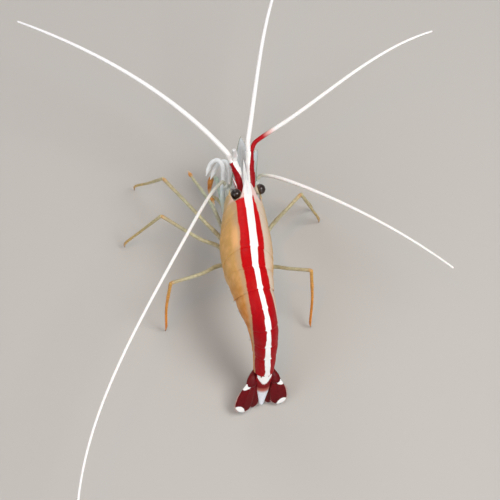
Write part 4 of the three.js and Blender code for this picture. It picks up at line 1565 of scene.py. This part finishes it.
@dataclass(frozen=True)
class Swimmerets:
    """Five pairs of swimming legs: a stout base with two leaves each, the outer one fringed."""

    body: Body
    places: Table = (15.6, 19.6, 25.4, 31.4, 35.2)
    lengths: Table = (4.7, 4.9, 4.7, 4.4, 4.0)
    leans: Table = (12, 6, 0, -8, -16)
    spread: float = 0.36

    def root(self, pair: int, side: Side) -> tuple[Array, Array, Array, Array, Array]:
        """Where a leg stands and which way it hangs.

        Args:
            pair: Number of the pair, from 0 in front.
            side: Side of the animal.

        Returns:
            The top inside the belly, the hip, and unit vectors down the leg, ahead and outward.
        """
        start = self.body.spine.at(self.places[pair])
        ahead = unit(start.forward * np.array([1.0, 1.0, 0.0]))
        lean = np.radians(self.leans[pair])
        direction = np.array([0.0, 0.0, -1.0]) * np.cos(lean) + ahead * np.sin(lean)
        depth, half = (
            float(np.interp(self.places[pair], self.body.places, table))
            for table in (self.body.depths, self.body.halves)
        )
        top, hip = (start.offset(0.0, side.value * half * self.spread, up - depth) for up in (0.9, -0.65))
        return top, hip, direction, ahead, start.right * side.value

    def limb(self, pair: int, side: Side) -> Surface:
        """One swimming leg, from inside the belly to the ends of its leaves."""
        top, hip, direction, ahead, outward = self.root(pair, side)
        length = self.lengths[pair]
        knee = hip + direction * length * 0.42
        path = smooth_curve([top, hip, knee], 22)
        share = np.linspace(0, 1, 22)
        made = [rod(path, 0.56 - 0.1 * share, 12, outward, offset=-3, flat=0.8)]
        for sign, reach, width in ((1, 1.0, 1.0), (-1, 0.9, 0.75)):
            base = knee - direction * 0.12 + outward * 0.14 * sign
            tip = hip + direction * length * reach + outward * 0.42 * sign + ahead * 0.2 * sign
            halves = (0.22 * width, 0.44 * width, 0.46 * width, 0.18)
            leaf = Leaf(base, tip, ahead, (0, 0.3, 0.65, 1), halves, 0.14, rib=0.14)
            across = grid(26, 15)[1]
            made.append(leaf.surface((across * 0 - 1, np.abs(across)), 26, 15))
        return Surface.joined(made)

    def fringe(self) -> Surface:
        """Bristles along the outer leaf of each of the ten legs."""
        made = []
        for pair, length in enumerate(self.lengths):
            for side in Side:
                _, hip, direction, ahead, outward = self.root(pair, side)
                base = hip + direction * length * 0.4
                tip = hip + direction * length + outward * 0.4 + ahead * 0.2
                leaf = Leaf(base, tip, ahead, (0, 0.3, 0.65, 1), (0.22, 0.44, 0.46, 0.18))
                made.append(leaf.fringe(60, 0.6, (0.25, 0.25, 0.9, 0.9), 40 + pair))
        return Surface.joined(made)

    def build(self, shop: Workshop) -> None:
        """Makes the pieces."""
        for pair in range(len(self.places)):
            for side in Side:
                name = f"pleopod_{pair + 1}_{side.label}"
                shop.place(
                    f"{name}_leaves", self.limb(pair, side), FINISHES["swimmeret"], Slot.CLEAR_SHELL, name,
                )
        shop.place("swimmeret_fringe", self.fringe(), FINISHES["bristle"], Slot.CLEAR_SHELL)


# --- eyes


@dataclass(frozen=True)
class Eyes:
    """Both eyes on their stalks. Places are offsets ahead of, right of and above the orbit."""

    body: Body
    radius: float = 0.95
    solid_left: ClassVar[Place] = (1.05, -1.6, -1.95)
    centres: ClassVar[dict[Side, Place]] = {Side.LEFT: (0.3, -1.73, -1.5), Side.RIGHT: (1.46, 2.7, -0.95)}
    stalk_roots: ClassVar[dict[Side, Place]] = {Side.LEFT: (0.3, -0.2, -2.6), Side.RIGHT: (1.3, 0.9, -1.9)}

    def line(self, side: Side) -> tuple[Array, Array, Array]:
        """The eye's centre, its stalk's root and the direction from the root to the centre."""
        centre, root = self.body.in_head([self.centres[side], self.stalk_roots[side]])
        return centre, root, unit(centre - root)

    def ball(self, side: Side) -> Surface:
        """The cornea: a sphere whose axis runs out along the stalk."""
        centre, _, axis = self.line(side)
        turn = np.linspace(0.04, np.pi - 0.04, 48)
        first = square_on(np.array([0.0, 0.0, 1.0]), axis)
        angle = 2 * np.pi * np.arange(48) / 48
        out = np.cos(angle)[:, None] * first + np.sin(angle)[:, None] * np.cross(axis, first)
        height = -np.cos(turn)[:, None, None]
        rings = centre + self.radius * (height * axis + np.sin(turn)[:, None, None] * out[None])
        return Surface.tube(rings, plain_marks((height[..., 0] + 1) / 2, rings[..., 0]))

    def stalk(self, side: Side) -> Surface:
        """The stalk: a cone that widens to a collar round the back of the eye."""
        centre, root, axis = self.line(side)
        share = np.linspace(0, 1, 90)
        path = root + (centre - axis * self.radius * 0.1 - root) * share[:, None]
        radii = 0.46 + 0.08 * bell(share, 0.25, 0.16) + 0.42 * ease(0.35, 0.85, share)
        radii = radii * (1 - 0.1 * bell(share, 0.4, 0.05)) * (1 - 0.3 * ease(0.86, 1.0, share) ** 2)
        return rod(path, radii, 24, self.body.spine.at(0.0).up, offset=-3)

    def build(self, shop: Workshop) -> None:
        """Makes the pieces."""
        for side in Side:
            label = side.label
            shop.place(f"eye_ball_{label}", self.ball(side), FINISHES["eye"], Slot.EYE, f"eye_{label}")
            shop.place(
                f"eye_stalk_{label}", self.stalk(side), FINISHES["stalk"], Slot.EYESTALK, f"eyestalk_{label}",
            )


# --- feelers


@dataclass(frozen=True)
class Feeler:
    """One long feeler.

    Its heading to the right and its rise are polynomials of the share of its length, lowest
    power first, and a swing that fades by e over a few millimetres turns it off its base. The
    path is the sum of short steps in those directions, joined smoothly to its socket.
    """

    name: str
    socket: Place
    root: Place
    length: float
    heading: Table
    rise: Table
    radius: float
    swing: float = 0.0
    fade: float = 2.0
    tip_radius: float = 0.17
    ring: float = 0.32
    finish: str = "feeler"

    def path(self, body: Body, stations: int) -> Array:
        """Evenly spaced points from the socket inside the base to the tip.

        Args:
            body: The body that the feeler stands on.
            stations: How many points to return.

        Returns:
            Points, shape (stations, 3).
        """
        steps = 1200
        share = (np.arange(steps) + 0.5) / steps
        swing = self.swing * np.exp(-share * self.length / self.fade)
        turn = np.radians(np.polynomial.polynomial.polyval(share, self.heading) + swing)
        lift = np.radians(np.polynomial.polynomial.polyval(share, self.rise))
        ways = np.stack([np.sin(turn) * np.cos(lift), np.cos(turn) * np.cos(lift), np.sin(lift)], axis=1)
        walk = body.in_head([self.root])[0] + np.cumsum(ways, axis=0) * self.length / steps
        picked = spaced(walk, np.concatenate([[0.9 / self.length], np.linspace(2.0 / self.length, 1, 50)]))
        return smooth_curve(np.vstack([body.in_head([self.socket]), picked]), stations)

    def surface(self, body: Body) -> Surface:
        """The feeler: its radius narrows to the tip, with a fine groove between rings."""
        stations = int(self.length / self.ring * 5)
        path = self.path(body, stations)
        share = np.linspace(0, 1, stations)
        radii = self.tip_radius + (self.radius - self.tip_radius) * (1 - share) ** 0.8
        groove = (0.5 + 0.5 * np.cos(2 * np.pi * share * stations / 5)) ** 3
        radii = radii * (1.02 - 0.06 * groove)
        radii[-4:] *= (0.95, 0.85, 0.65, 0.35)
        return rod(path, radii, 10, offset=-3)


@dataclass(frozen=True)
class HeadLimbs:
    """Bases of both pairs of feelers, the scales over them, and the feelers."""

    body: Body
    antennules: ClassVar[dict[Side, tuple]] = {
        Side.LEFT: (
            (0.3, -0.4, -4.6), (1.3, -0.35, -4.2), (2.9, -0.15, -3.1), (4.45, -0.5, -2.2),
            (5.55, -1.25, -0.9), (6.15, -2.3, 0.95),
        ),
        Side.RIGHT: (
            (0.3, 1.2, -4.9), (1.3, 1.35, -4.6), (2.9, 1.6, -4.0), (4.6, 1.6, -3.0), (6.6, 1.25, -0.9),
            (8.0, 0.65, 2.35),
        ),
    }
    antennae: ClassVar[dict[Side, tuple]] = {
        Side.LEFT: (
            (0.0, -2.0, -6.3), (1.2, -2.1, -6.3), (4.0, -1.6, -6.0), (5.8, -1.9, -5.6), (6.2, -2.7, -5.2),
        ),
        Side.RIGHT: (
            (0.0, 2.1, -6.2), (1.2, 2.3, -6.2), (3.8, 2.5, -5.6), (6.0, 2.8, -5.0), (7.5, 3.3, -4.5),
        ),
    }
    scale_bases: ClassVar[dict[Side, tuple]] = {Side.LEFT: (4.3, -2.05, -4.1), Side.RIGHT: (6.1, 2.9, -3.55)}
    scale_tips: ClassVar[dict[Side, tuple]] = {Side.LEFT: (12.9, -0.5, 0.6), Side.RIGHT: (12.2, 3.52, -2.0)}
    scale_rolls: ClassVar[dict[Side, float]] = {Side.LEFT: -8.0, Side.RIGHT: 45.0}
    scale_stations: Table = (0, 0.12, 0.35, 0.65, 0.88, 1)
    scale_halves: Table = (0.5, 0.95, 1.25, 1.1, 0.7, 0.3)
    feelers: tuple[Feeler, ...] = (
        Feeler(
            "antennule_outer_left", (6.05, -2.35, 0.7), (6.95, -2.62, 1.05), 46, (-33.8, -30.8, 12.1),
            (38, -34), 0.5, 3, 1.6,
        ),
        Feeler(
            "antennule_inner_left", (6.15, -2.05, 0.7), (6.6, -1.95, 1.75), 38, (22, -4), (104.6, 26, -19),
            0.42,
        ),
        Feeler(
            "antennule_outer_right", (7.75, 0.95, 2.0), (8.5, 1.05, 2.6), 39, (93.6, -69.3, 67.5), (35, -30),
            0.42, -46.8, 1.3, finish="red_based_feeler",
        ),
        Feeler(
            "antennule_inner_right", (7.75, 0.5, 2.0), (8.35, 0.2, 2.75), 37, (29.3, -21.9, 41.2), (32, -16),
            0.46, -5, 2,
        ),
        Feeler(
            "antenna_right", (7.0, 3.0, -4.6), (7.9, 3.2, -4.1), 41.6, (138.8, -3.2, 7.9), (28, -36), 0.34,
            -42.6, 2, finish="grey_based_feeler",
        ),
        Feeler(
            "antenna_left", (6.0, -2.3, -5.3), (6.75, -2.6, -4.55), 87.2, (-145.3, 28.7, 5.6, -73.4),
            (40, -95, 35), 0.31, 28, 4, finish="grey_based_feeler",
        ),
    )

    def antennule(self, side: Side) -> Surface:
        """Three-jointed base of the first feelers: red outside and white inside.

        The white side is where the angle's cosine from the inner direction is above a limit.
        """
        stations = 150
        path = smooth_curve(self.body.in_head(self.antennules[side]), stations)
        share = np.linspace(0, 1, stations)
        radii = segmented(share, 0.88 - 0.16 * share, (0.6, 0.8), 0.13)
        radii = radii * rounded(0.955, 1.012, share)
        inward = self.body.spine.at(0.0).right * -side.value + 0.5 * self.body.spine.at(0.0).up
        base = rod(path, radii, 28, inward, offset=-0.56)
        base.marks[:, 1] += 0.55 * ease(0.62, 1.0, base.marks[:, 0])
        spine_root = path[52] - unit(inward) * 0.55
        spine_tip = path[96] - unit(inward) * 1.15
        reach = np.linspace(0, 1, 12)
        spine_path = spine_root + (spine_tip - spine_root) * reach[:, None]
        spine = rod(spine_path, 0.3 * (1 - reach**1.5) + 0.03, 10, offset=0.5)
        return Surface.joined([base, spine, *self.joint_teeth(path, share, radii, (0.6, 0.8), inward)])

    @staticmethod
    def joint_teeth(
        path: Array, share: Array, radii: Array, joints: Sequence[float], across: Array,
    ) -> list[Surface]:
        """Small teeth that stand forward from the collars of a limb.

        Args:
            path: Middle line of the limb, shape (n, 3).
            share: Shares of its length at those points.
            radii: Radii at those points.
            joints: Shares of the length at which the collars stand.
            across: Direction from which the teeth's angles are measured.

        Returns:
            One surface for each tooth.
        """
        made = []
        for joint in joints:
            at = int(np.searchsorted(share, joint)) - 1
            along = unit(path[at + 1] - path[at - 1])
            for angle in (-2.4, -0.8, 0.8, 2.4):
                side = square_on(across, along)
                out = side * np.cos(angle) + np.cross(side, along) * np.sin(angle)
                root = path[at] + out * radii[at] * 0.9 - along * 0.12
                reach = np.linspace(0, 1, 8)
                line = root + (along * 0.42 + out * 0.06) * reach[:, None]
                tooth = rod(line, 0.09 * (1 - reach) + 0.012, 6, offset=-3)
                tooth.marks[:, 0] = joint
                tooth.marks[:, 1] = np.cos(angle) - 0.56
                made.append(tooth)
        return made

    def antenna_base(self, side: Side) -> Surface:
        """Jointed base of the second feelers."""
        stations = 110
        path = smooth_curve(self.body.in_head(self.antennae[side]), stations)
        share = np.linspace(0, 1, stations)
        radii = segmented(share, 1.02 - 0.4 * share, (0.36, 0.6, 0.8), 0.2)
        radii = radii * rounded(0.95, 1.012, share)
        return rod(path, radii, 20, offset=-3)

    def scale(self, side: Side) -> Leaf:
        """The scale: a leaf whose outer edge is straight and thick and ends in a tooth."""
        head = self.body.spine.at(0.0)
        roll = np.radians(self.scale_rolls[side])
        face = head.up * np.cos(roll) + np.cross(head.forward, head.up) * np.sin(roll)
        return Leaf(
            self.body.in_head([self.scale_bases[side]])[0], self.body.in_head([self.scale_tips[side]])[0],
            face, self.scale_stations, self.scale_halves, thickness=0.14, shift=-side.value, camber=0.1,
            rib=0.16,
        )

    def scale_surface(self, side: Side) -> Surface:
        """The scale with its outer rib and tooth."""
        leaf = self.scale(side)
        share, across = grid(60, 29)
        edge = side.value
        vein = bell(across, 0.0, 0.1) * (1 - 0.5 * share) - 0.5
        blade = leaf.surface((vein, np.abs(across) ** 2), 60, 29)
        run = np.linspace(0.02, 0.97, 40)
        rib_path = leaf.place(run, np.full(40, edge * 0.97))
        tooth = rib_path[-1] + unit(rib_path[-1] - rib_path[-4]) * 0.55
        rib_path = np.vstack([rib_path, tooth])
        rib = rod(rib_path, np.linspace(0.2, 0.05, 41), 8, offset=-3)
        rib.marks[:, 2] = 1.0
        return Surface.joined([blade, rib])

    def fringe(self) -> Surface:
        """Bristles along the inner edge and end of both scales."""
        made = []
        for side in Side:
            edges = (0.3, 0.97, 0.8, 0.2) if side is Side.RIGHT else (0.97, 0.3, 0.2, 0.8)
            made.append(self.scale(side).fringe(170, 0.7, edges, 70 + side.value))
        return Surface.joined(made)

    def build(self, shop: Workshop) -> None:
        """Makes the pieces."""
        for side in Side:
            label = side.label
            rows = (
                ("antennule", "antennule_base", self.antennule(side), Slot.SHELL),
                ("antenna", "antenna_base", self.antenna_base(side), Slot.CLEAR_SHELL),
                ("glassy", "antennal_scale", self.scale_surface(side), Slot.CLEAR_SHELL),
            )
            for finish, node, surface, slot in rows:
                shop.place(f"{node}_{label}_skin", surface, FINISHES[finish], slot, f"{node}_{label}")
        shop.place("scale_fringe", self.fringe(), FINISHES["bristle"], Slot.CLEAR_SHELL)
        for feeler in self.feelers:
            surface = feeler.surface(self.body)
            shop.place(f"{feeler.name}_feeler", surface, FINISHES[feeler.finish], Slot.FEELER, feeler.name)


# --- mouth limbs and legs


@dataclass(frozen=True)
class LimbPlan:
    """A jointed limb through places ahead of, right of and above the orbit.

    A claw leg also has its hip's place and offset, and the shares of the length at which its
    palm and its fingers start.
    """

    name: str
    places: tuple[Place, ...]
    radii: tuple[float, float]
    joints: Table
    finish: str
    hip: tuple[float, float] = (0.0, 0.0)
    palm: float = 0.83
    fingers: float = 0.91
    swell: float = 0.5


@dataclass(frozen=True)
class Walker:
    """A walking leg: its hip's place and offset, the thigh's points, knee, foot and the shank's bow."""

    name: str
    at: float
    out: float
    via: tuple[Place, ...]
    knee: Place
    foot: tuple[float, float]
    bow: float


@dataclass(frozen=True)
class Legs:
    """Mouth limbs, claw legs and walking legs."""

    body: Body
    last_pair: str = "pereiopod_5"
    hip_depth: float = 0.75
    hip_spread: float = 1.9
    hooks: tuple[LimbPlan, ...] = (
        LimbPlan(
            "maxilliped_left",
            (
                (-1.4, -1.0, -8.3), (-0.6, -1.2, -8.9), (3.5, -2.25, -8.8), (7.6, -2.55, -7.4),
                (9.2, -2.45, -6.2), (10.3, -3.1, -4.0), (10.95, -3.9, -3.7), (10.75, -4.95, -4.3),
                (9.4, -5.65, -6.4),
            ),
            (0.56, 0.36), (0.3, 0.66, 0.8), "hook",
        ),
        LimbPlan(
            "maxilliped_right",
            (
                (-1.4, 1.0, -8.3), (-0.6, 1.2, -8.9), (4.0, -0.2, -8.7), (8.6, -1.1, -7.4),
                (11.4, -2.0, -4.6), (12.0, -2.9, -5.0), (11.5, -3.7, -5.9), (9.8, -4.6, -7.6),
            ),
            (0.56, 0.36), (0.3, 0.64, 0.78), "hook",
        ),
    )
    claws: tuple[LimbPlan, ...] = (
        LimbPlan(
            "pereiopod_1_left",
            (
                (3.96, -1.89, -9.89), (8.62, -2.58, -9.46), (11.08, -3.44, -8.25), (11.33, -4.03, -8.83),
                (8.78, -4.45, -10.36),
            ),
            (0.46, 0.32), (0.34, 0.6, 0.8), "claw_leg", (3.4, -0.35), 0.84, 0.92, 0.55,
        ),
        LimbPlan(
            "pereiopod_1_right", ((4.0, 2.6, -10.2), (8.0, 2.2, -9.8), (9.6, 1.6, -9.9), (7.6, 0.8, -10.9)),
            (0.46, 0.32), (0.34, 0.6, 0.8), "claw_leg", (3.4, 0.5), 0.84, 0.92, 0.55,
        ),
        LimbPlan(
            "pereiopod_2_left",
            (
                (-0.16, -2.85, -9.67), (2.45, -4.47, -7.78), (6.04, -6.43, -7.09), (9.01, -7.52, -7.6),
                (12.44, -8.6, -8.34),
            ),
            (0.4, 0.24), (0.22, 0.5), "slim_leg", (5.6, -0.45), 0.91, 0.95, 0.3,
        ),
        LimbPlan(
            "pereiopod_2_right",
            (
                (-2.2, 0.9, -11.7), (2.0, -0.5, -12.0), (6.6, -1.6, -11.7), (8.6, -2.7, -11.4),
                (9.3, -3.6, -11.5), (8.1, -2.9, -12.8),
            ),
            (0.4, 0.26), (0.22, 0.5), "slim_leg", (5.6, 0.8), 0.9, 0.945, 0.5,
        ),
    )
    walkers: tuple[Walker, ...] = (
        Walker(
            "pereiopod_3_left", 7.9, -0.45, ((-4.2, 4.7, 12.9), (-5.95, 7.95, 13.9)), (-10.75, 17.85, 15.0),
            (-15.2, 23.1), 0.3,
        ),
        Walker(
            "pereiopod_4_left", 9.6, -0.95, ((-4.75, 2.7, 13.0), (-7.75, 5.1, 13.9)), (-13.2, 11.05, 15.0),
            (-20.2, 12.75), 0.3,
        ),
        Walker(
            "pereiopod_5_left", 11.8, -1.0, ((-5.5, -0.95, 13.8), (-9.9, -1.75, 15.2)), (-15.45, -2.2, 16.5),
            (-17.8, -5.2), 0.3,
        ),
        Walker(
            "pereiopod_3_right", 7.9, 0.75, ((5.65, 4.45, 11.3), (8.95, 6.3, 12.2)), (12.4, 8.25, 12.6),
            (15.3, 9.1), 0.3,
        ),
        Walker(
            "pereiopod_4_right", 9.9, 0.9, ((5.3, 3.9, 12.9), (8.5, 5.3, 15.1)), (11.9, 7.0, 16.2),
            (15.85, 6.45), 0.2,
        ),
        Walker(
            "pereiopod_5_right", 11.7, 1.0, ((2.7, -3.85, 13.8), (5.65, -5.65, 15.4)), (9.0, -7.45, 16.5),
            (7.9, -12.6), 0.2,
        ),
    )

    def hip(self, at: float, out: float, inside: float = 0.0) -> Array:
        """Hip under the carapace, or a point above it inside the body."""
        depth = float(np.interp(at, self.body.places, self.body.depths))
        across = out * (self.hip_spread - 0.3 * inside)
        return self.body.spine.at(at).offset(0.0, across, -depth - self.hip_depth + inside)

    def hook(self, plan: LimbPlan) -> Surface:
        """Third jaw leg: a jointed rod folded over in front of the mouth."""
        stations = 180
        path = smooth_curve(self.body.in_head(plan.places), stations)
        share = np.linspace(0, 1, stations)
        radii = plan.radii[0] + (plan.radii[1] - plan.radii[0]) * share
        radii = segmented(share, radii, plan.joints, 0.12)
        radii = radii * (1 - 0.75 * ease(0.93, 1.0, share))
        return rod(path, radii, 16, offset=-3)

    @staticmethod
    def brush(
        path: Array, start: float, end: float, count: int, length: float, radius: float, seed: int,
    ) -> Surface:
        """Bristles scattered round a stretch of a path, leaning toward its end.

        Args:
            path: Middle line of the limb, shape (n, 3).
            start: Share of the path at which the stretch starts.
            end: Share at which it ends.
            count: Number of bristles.
            length: Longest bristle, in millimetres.
            radius: Radius of the limb.
            seed: Seed of the random draws.

        Returns:
            The bristles.
        """
        rng = np.random.default_rng(seed)
        along = unit(np.gradient(path, axis=0))
        index = rng.integers(int(start * (len(path) - 1)), int(end * (len(path) - 1)), count)
        out = square_on(rng.normal(size=(count, 3)), along[index])
        roots = path[index] + out * radius * 0.8
        reach = radius + length * rng.uniform(0.5, 1.0, (count, 1))
        tips = path[index] + out * reach + along[index] * length * 0.6
        return Surface.hairs(roots, tips, 0.016, (1.0, -3.0, 0.0))

    def claw(self, plan: LimbPlan) -> Surface:
        """Claw leg: a jointed rod that ends in a palm with two curved fingers."""
        stations = 220
        points = [self.hip(*plan.hip, 1.3), self.hip(*plan.hip), *self.body.in_head(plan.places)]
        path = smooth_curve(np.array(points), stations)
        share = np.linspace(0, 1, stations)
        radii = plan.radii[0] + 0.12 * ease(0.12, 0.0, share) + (plan.radii[1] - plan.radii[0]) * share
        radii = segmented(share, radii, plan.joints, 0.14)
        if plan.finish == "slim_leg":
            ringed = ease(0.5, 0.54, share) * (1 - ease(0.88, 0.9, share))
            radii = radii * (1 + 0.05 * ringed * np.cos(2 * np.pi * share * 34))
        middle = (plan.palm + plan.fingers) / 2
        radii = radii * (1 + plan.swell * bell(share, middle, (plan.fingers - plan.palm) * 0.62))
        radii = radii * (1 - 0.3 * bell(share, plan.palm - 0.012, 0.014))
        last = int(stations * plan.fingers) + 5
        close = 1 - 0.75 * ease(last - 7, last, np.arange(last))
        arm = rod(path[:last], radii[:last] * close, 16, offset=-3)
        arm.marks[:, 0] *= plan.fingers
        side = flat_direction(path)
        along = unit(path[-1] - path[last - 8])
        across = np.cross(side, along)
        reach = np.linspace(0, 1, 30)[:, None]
        size = float(radii[int(stations * middle)])
        start = path[last - 8]
        parts = [arm]
        for sign in (1, -1):
            bow = across * sign * size * (0.42 + 0.4 * np.sin(np.pi * reach) - 0.38 * reach)
            line = start + (path[-1] - start) * reach + bow
            finger = rod(line, 0.56 * size * (1 - 0.84 * reach[:, 0] ** 1.1), 12, side, offset=-3)
            finger.marks[:, 0] = plan.fingers + (1 - plan.fingers) * finger.marks[:, 0]
            parts.append(finger)
        return Surface.joined(parts)

    def thigh(self, leg: Walker) -> Surface:
        """Upper part of a walking leg, from inside the body to the knee."""
        stations = 160
        points = [self.hip(leg.at, leg.out, 1.4), self.hip(leg.at, leg.out), *leg.via, leg.knee]
        path = smooth_curve(np.array(points), stations)
        share = np.linspace(0, 1, stations)
        radii = np.interp(share, (0, 0.08, 0.16, 0.4, 0.9, 1), (0.72, 0.6, 0.46, 0.36, 0.3, 0.3))
        radii = segmented(share, radii, (0.13, 0.21, 0.4), 0.16)
        radii = radii * rounded(0.975, 1.01, share)
        return rod(path, radii, 16, offset=-3)

    def shank(self, leg: Walker) -> Surface:
        """Lower part of a walking leg, with spines along its inner side and a dark claw on the floor."""
        bend, toe = np.array(leg.knee), np.array([*leg.foot, 0.0])
        outward = unit((bend - self.hip(leg.at, leg.out)) * np.array([1.0, 1.0, 0.0]))
        stations = 170
        middle = (bend + toe) / 2 + outward * leg.bow
        ankle = toe - outward * 0.2 + np.array([0, 0, 2.2])
        start = bend + unit(bend - middle) * 0.05
        path = smooth_curve([start, middle, ankle, toe + np.array([0, 0, 0.06])], stations)
        share = np.linspace(0, 1, stations)
        radii = np.interp(share, (0, 0.04, 0.3, 0.82, 0.9, 1), (0.3, 0.31, 0.27, 0.21, 0.18, 0.05))
        radii = segmented(share, radii, (0.3, 0.87), 0.2)
        radii = radii * rounded(0.02, -0.012, share)
        inner = square_on(-outward, unit(path[-1] - path[0]))
        index = (np.linspace(0.36, 0.84, 11) * (stations - 1)).astype(int)
        roots = path[index] + inner * 0.15
        down = unit(path[-1] - path[0])
        spines = Surface.hairs(roots, roots + inner * 0.22 + down * 0.32, 0.045, (0.95, -3.0, 0.0))
        spines.roots = None
        return Surface.joined([rod(path, radii, 16, offset=-3), spines])

    def build(self, shop: Workshop) -> None:
        """Makes the pieces."""
        brushes = []
        for seed, plan in enumerate(self.hooks):
            shop.place(
                f"{plan.name}_hook", self.hook(plan), FINISHES[plan.finish], Slot.MOUTH_LIMB, plan.name,
            )
            path = smooth_curve(self.body.in_head(plan.places), 150)
            brushes.append(self.brush(path, 0.7, 0.97, 260, 0.36, 0.36, 90 + seed))
        shop.place("hook_bristles", Surface.joined(brushes), FINISHES["bristle"], Slot.MOUTH_LIMB)
        for plan in self.claws:
            shop.place(f"{plan.name}_limb", self.claw(plan), FINISHES[plan.finish], Slot.LEG, plan.name)
        for leg in self.walkers:
            shank = "shank" if leg.name.startswith(self.last_pair) else "tan_shank"
            for part, finish, surface in (
                ("thigh", "leg", self.thigh(leg)), ("shank", shank, self.shank(leg)),
            ):
                name = f"{leg.name}_{part}"
                shop.place(f"{name}_skin", surface, FINISHES[finish], Slot.LEG, name)


# --- studio


@dataclass(frozen=True)
class Light:
    """Soft square lamp: where it stands, its width and power, and its colour."""

    name: str
    place: Place
    width: float
    power: float
    colour: Colour = (1.0, 1.0, 1.0)


@dataclass(frozen=True)
class Studio:
    """Camera, lamps and floor. Angles are in degrees and lengths in millimetres."""

    elevation: float = 70.0
    azimuth: float = -20.0
    roll: float = 2.24
    distance: float = 360.0
    target: Place = (0.0, 0.0, 15.0)
    focal_length: float = 145.15
    sensor: float = 36.0
    clip: tuple[float, float] = (10.0, 20000.0)
    middle: Place = (0.0, 0.0, 12.0)
    floor_half: float = 2000.0
    floor_tone: Tone = 0xB2B0AC
    floor_roughness: float = 0.85
    sky: Tone = 0xE1E4E8
    sky_strength: float = 0.42
    lights: tuple[Light, ...] = (
        Light("key", (130.0, -70.0, 330.0), 130.0, 0.78, (1.0, 0.99, 0.97)),
        Light("fill", (-240.0, -80.0, 240.0), 240.0, 0.34, (0.96, 0.98, 1.0)),
        Light("front", (-20.0, 300.0, 170.0), 160.0, 0.2, (1.0, 1.0, 1.0)),
        Light("rear", (60.0, -300.0, 150.0), 180.0, 0.22, (1.0, 1.0, 1.0)),
        Light("glint", (-50.0, -20.0, 330.0), 34.0, 0.12, (1.0, 0.5, 0.25)),
    )

    def camera(self, shift: Array) -> None:
        """Places the camera on a line from the target at the given angles, turned by the roll.

        Args:
            shift: The way from the animal's coordinates to the frame's, in millimetres.
        """
        high, side, roll = np.radians([self.elevation, self.azimuth, self.roll])
        away = Vector((np.sin(side) * np.cos(high), -np.cos(side) * np.cos(high), np.sin(high)))
        target = Vector((np.array(self.target) + shift) * MM)
        data = bpy.data.cameras.new("camera")
        data.lens = self.focal_length
        data.sensor_width = self.sensor
        data.sensor_fit = "HORIZONTAL"
        data.clip_start, data.clip_end = (limit * MM for limit in self.clip)
        made = stand("camera", data)
        made.location = target + away * self.distance * MM
        turn = (-away).to_track_quat("-Z", "Y").to_matrix() @ Matrix.Rotation(roll, 3, "Z")
        made.rotation_euler = turn.to_euler()
        bpy.context.scene.camera = made

    def lamps(self) -> None:
        """Adds the lamps, each turned to the middle of the animal, and the pale sky."""
        for light in self.lights:
            data = bpy.data.lights.new(light.name, "AREA")
            data.size = light.width * MM
            data.energy = light.power
            data.color = light.colour
            made = stand(light.name, data)
            made.location = Vector(light.place) * MM
            aim = Vector(self.middle) * MM - made.location
            made.rotation_euler = aim.to_track_quat("-Z", "Y").to_euler()
        world = bpy.data.worlds.new("sky")
        world.use_nodes = True
        background = world.node_tree.nodes["Background"]
        background.inputs["Color"].default_value = (*linear(self.sky), 1.0)
        background.inputs["Strength"].default_value = self.sky_strength
        bpy.context.scene.world = world
        bpy.context.scene.view_settings.view_transform = "Standard"

    def floor(self) -> None:
        """Adds the plain pale floor."""
        size = self.floor_half * MM
        mesh = bpy.data.meshes.new("floor")
        corners = [(-size, -size, 0.0), (size, -size, 0.0), (size, size, 0.0), (-size, size, 0.0)]
        mesh.from_pydata(corners, [], [(0, 1, 2, 3)])
        material = bpy.data.materials.new("pale_floor")
        material.use_nodes = True
        shader = material.node_tree.nodes["Principled BSDF"]
        shader.inputs["Base Color"].default_value = (*linear(self.floor_tone), 1.0)
        shader.inputs["Roughness"].default_value = self.floor_roughness
        mesh.materials.append(material)
        stand("floor", mesh)


def main() -> None:
    """Builds every sub-assembly in order, then the studio."""
    logging.basicConfig(level=logging.INFO, format="%(message)s")
    body = Body()
    shop = Workshop(body)
    studio = Studio()
    studio.camera(shop.shift)
    for assembly in (Carapace, Abdomen, TailFan, Swimmerets, Eyes, HeadLimbs, Legs):
        assembly(body).build(shop)
    studio.lamps()
    studio.floor()
    log.info("%d pieces", shop.count)


if __name__ == "__main__":
    main()
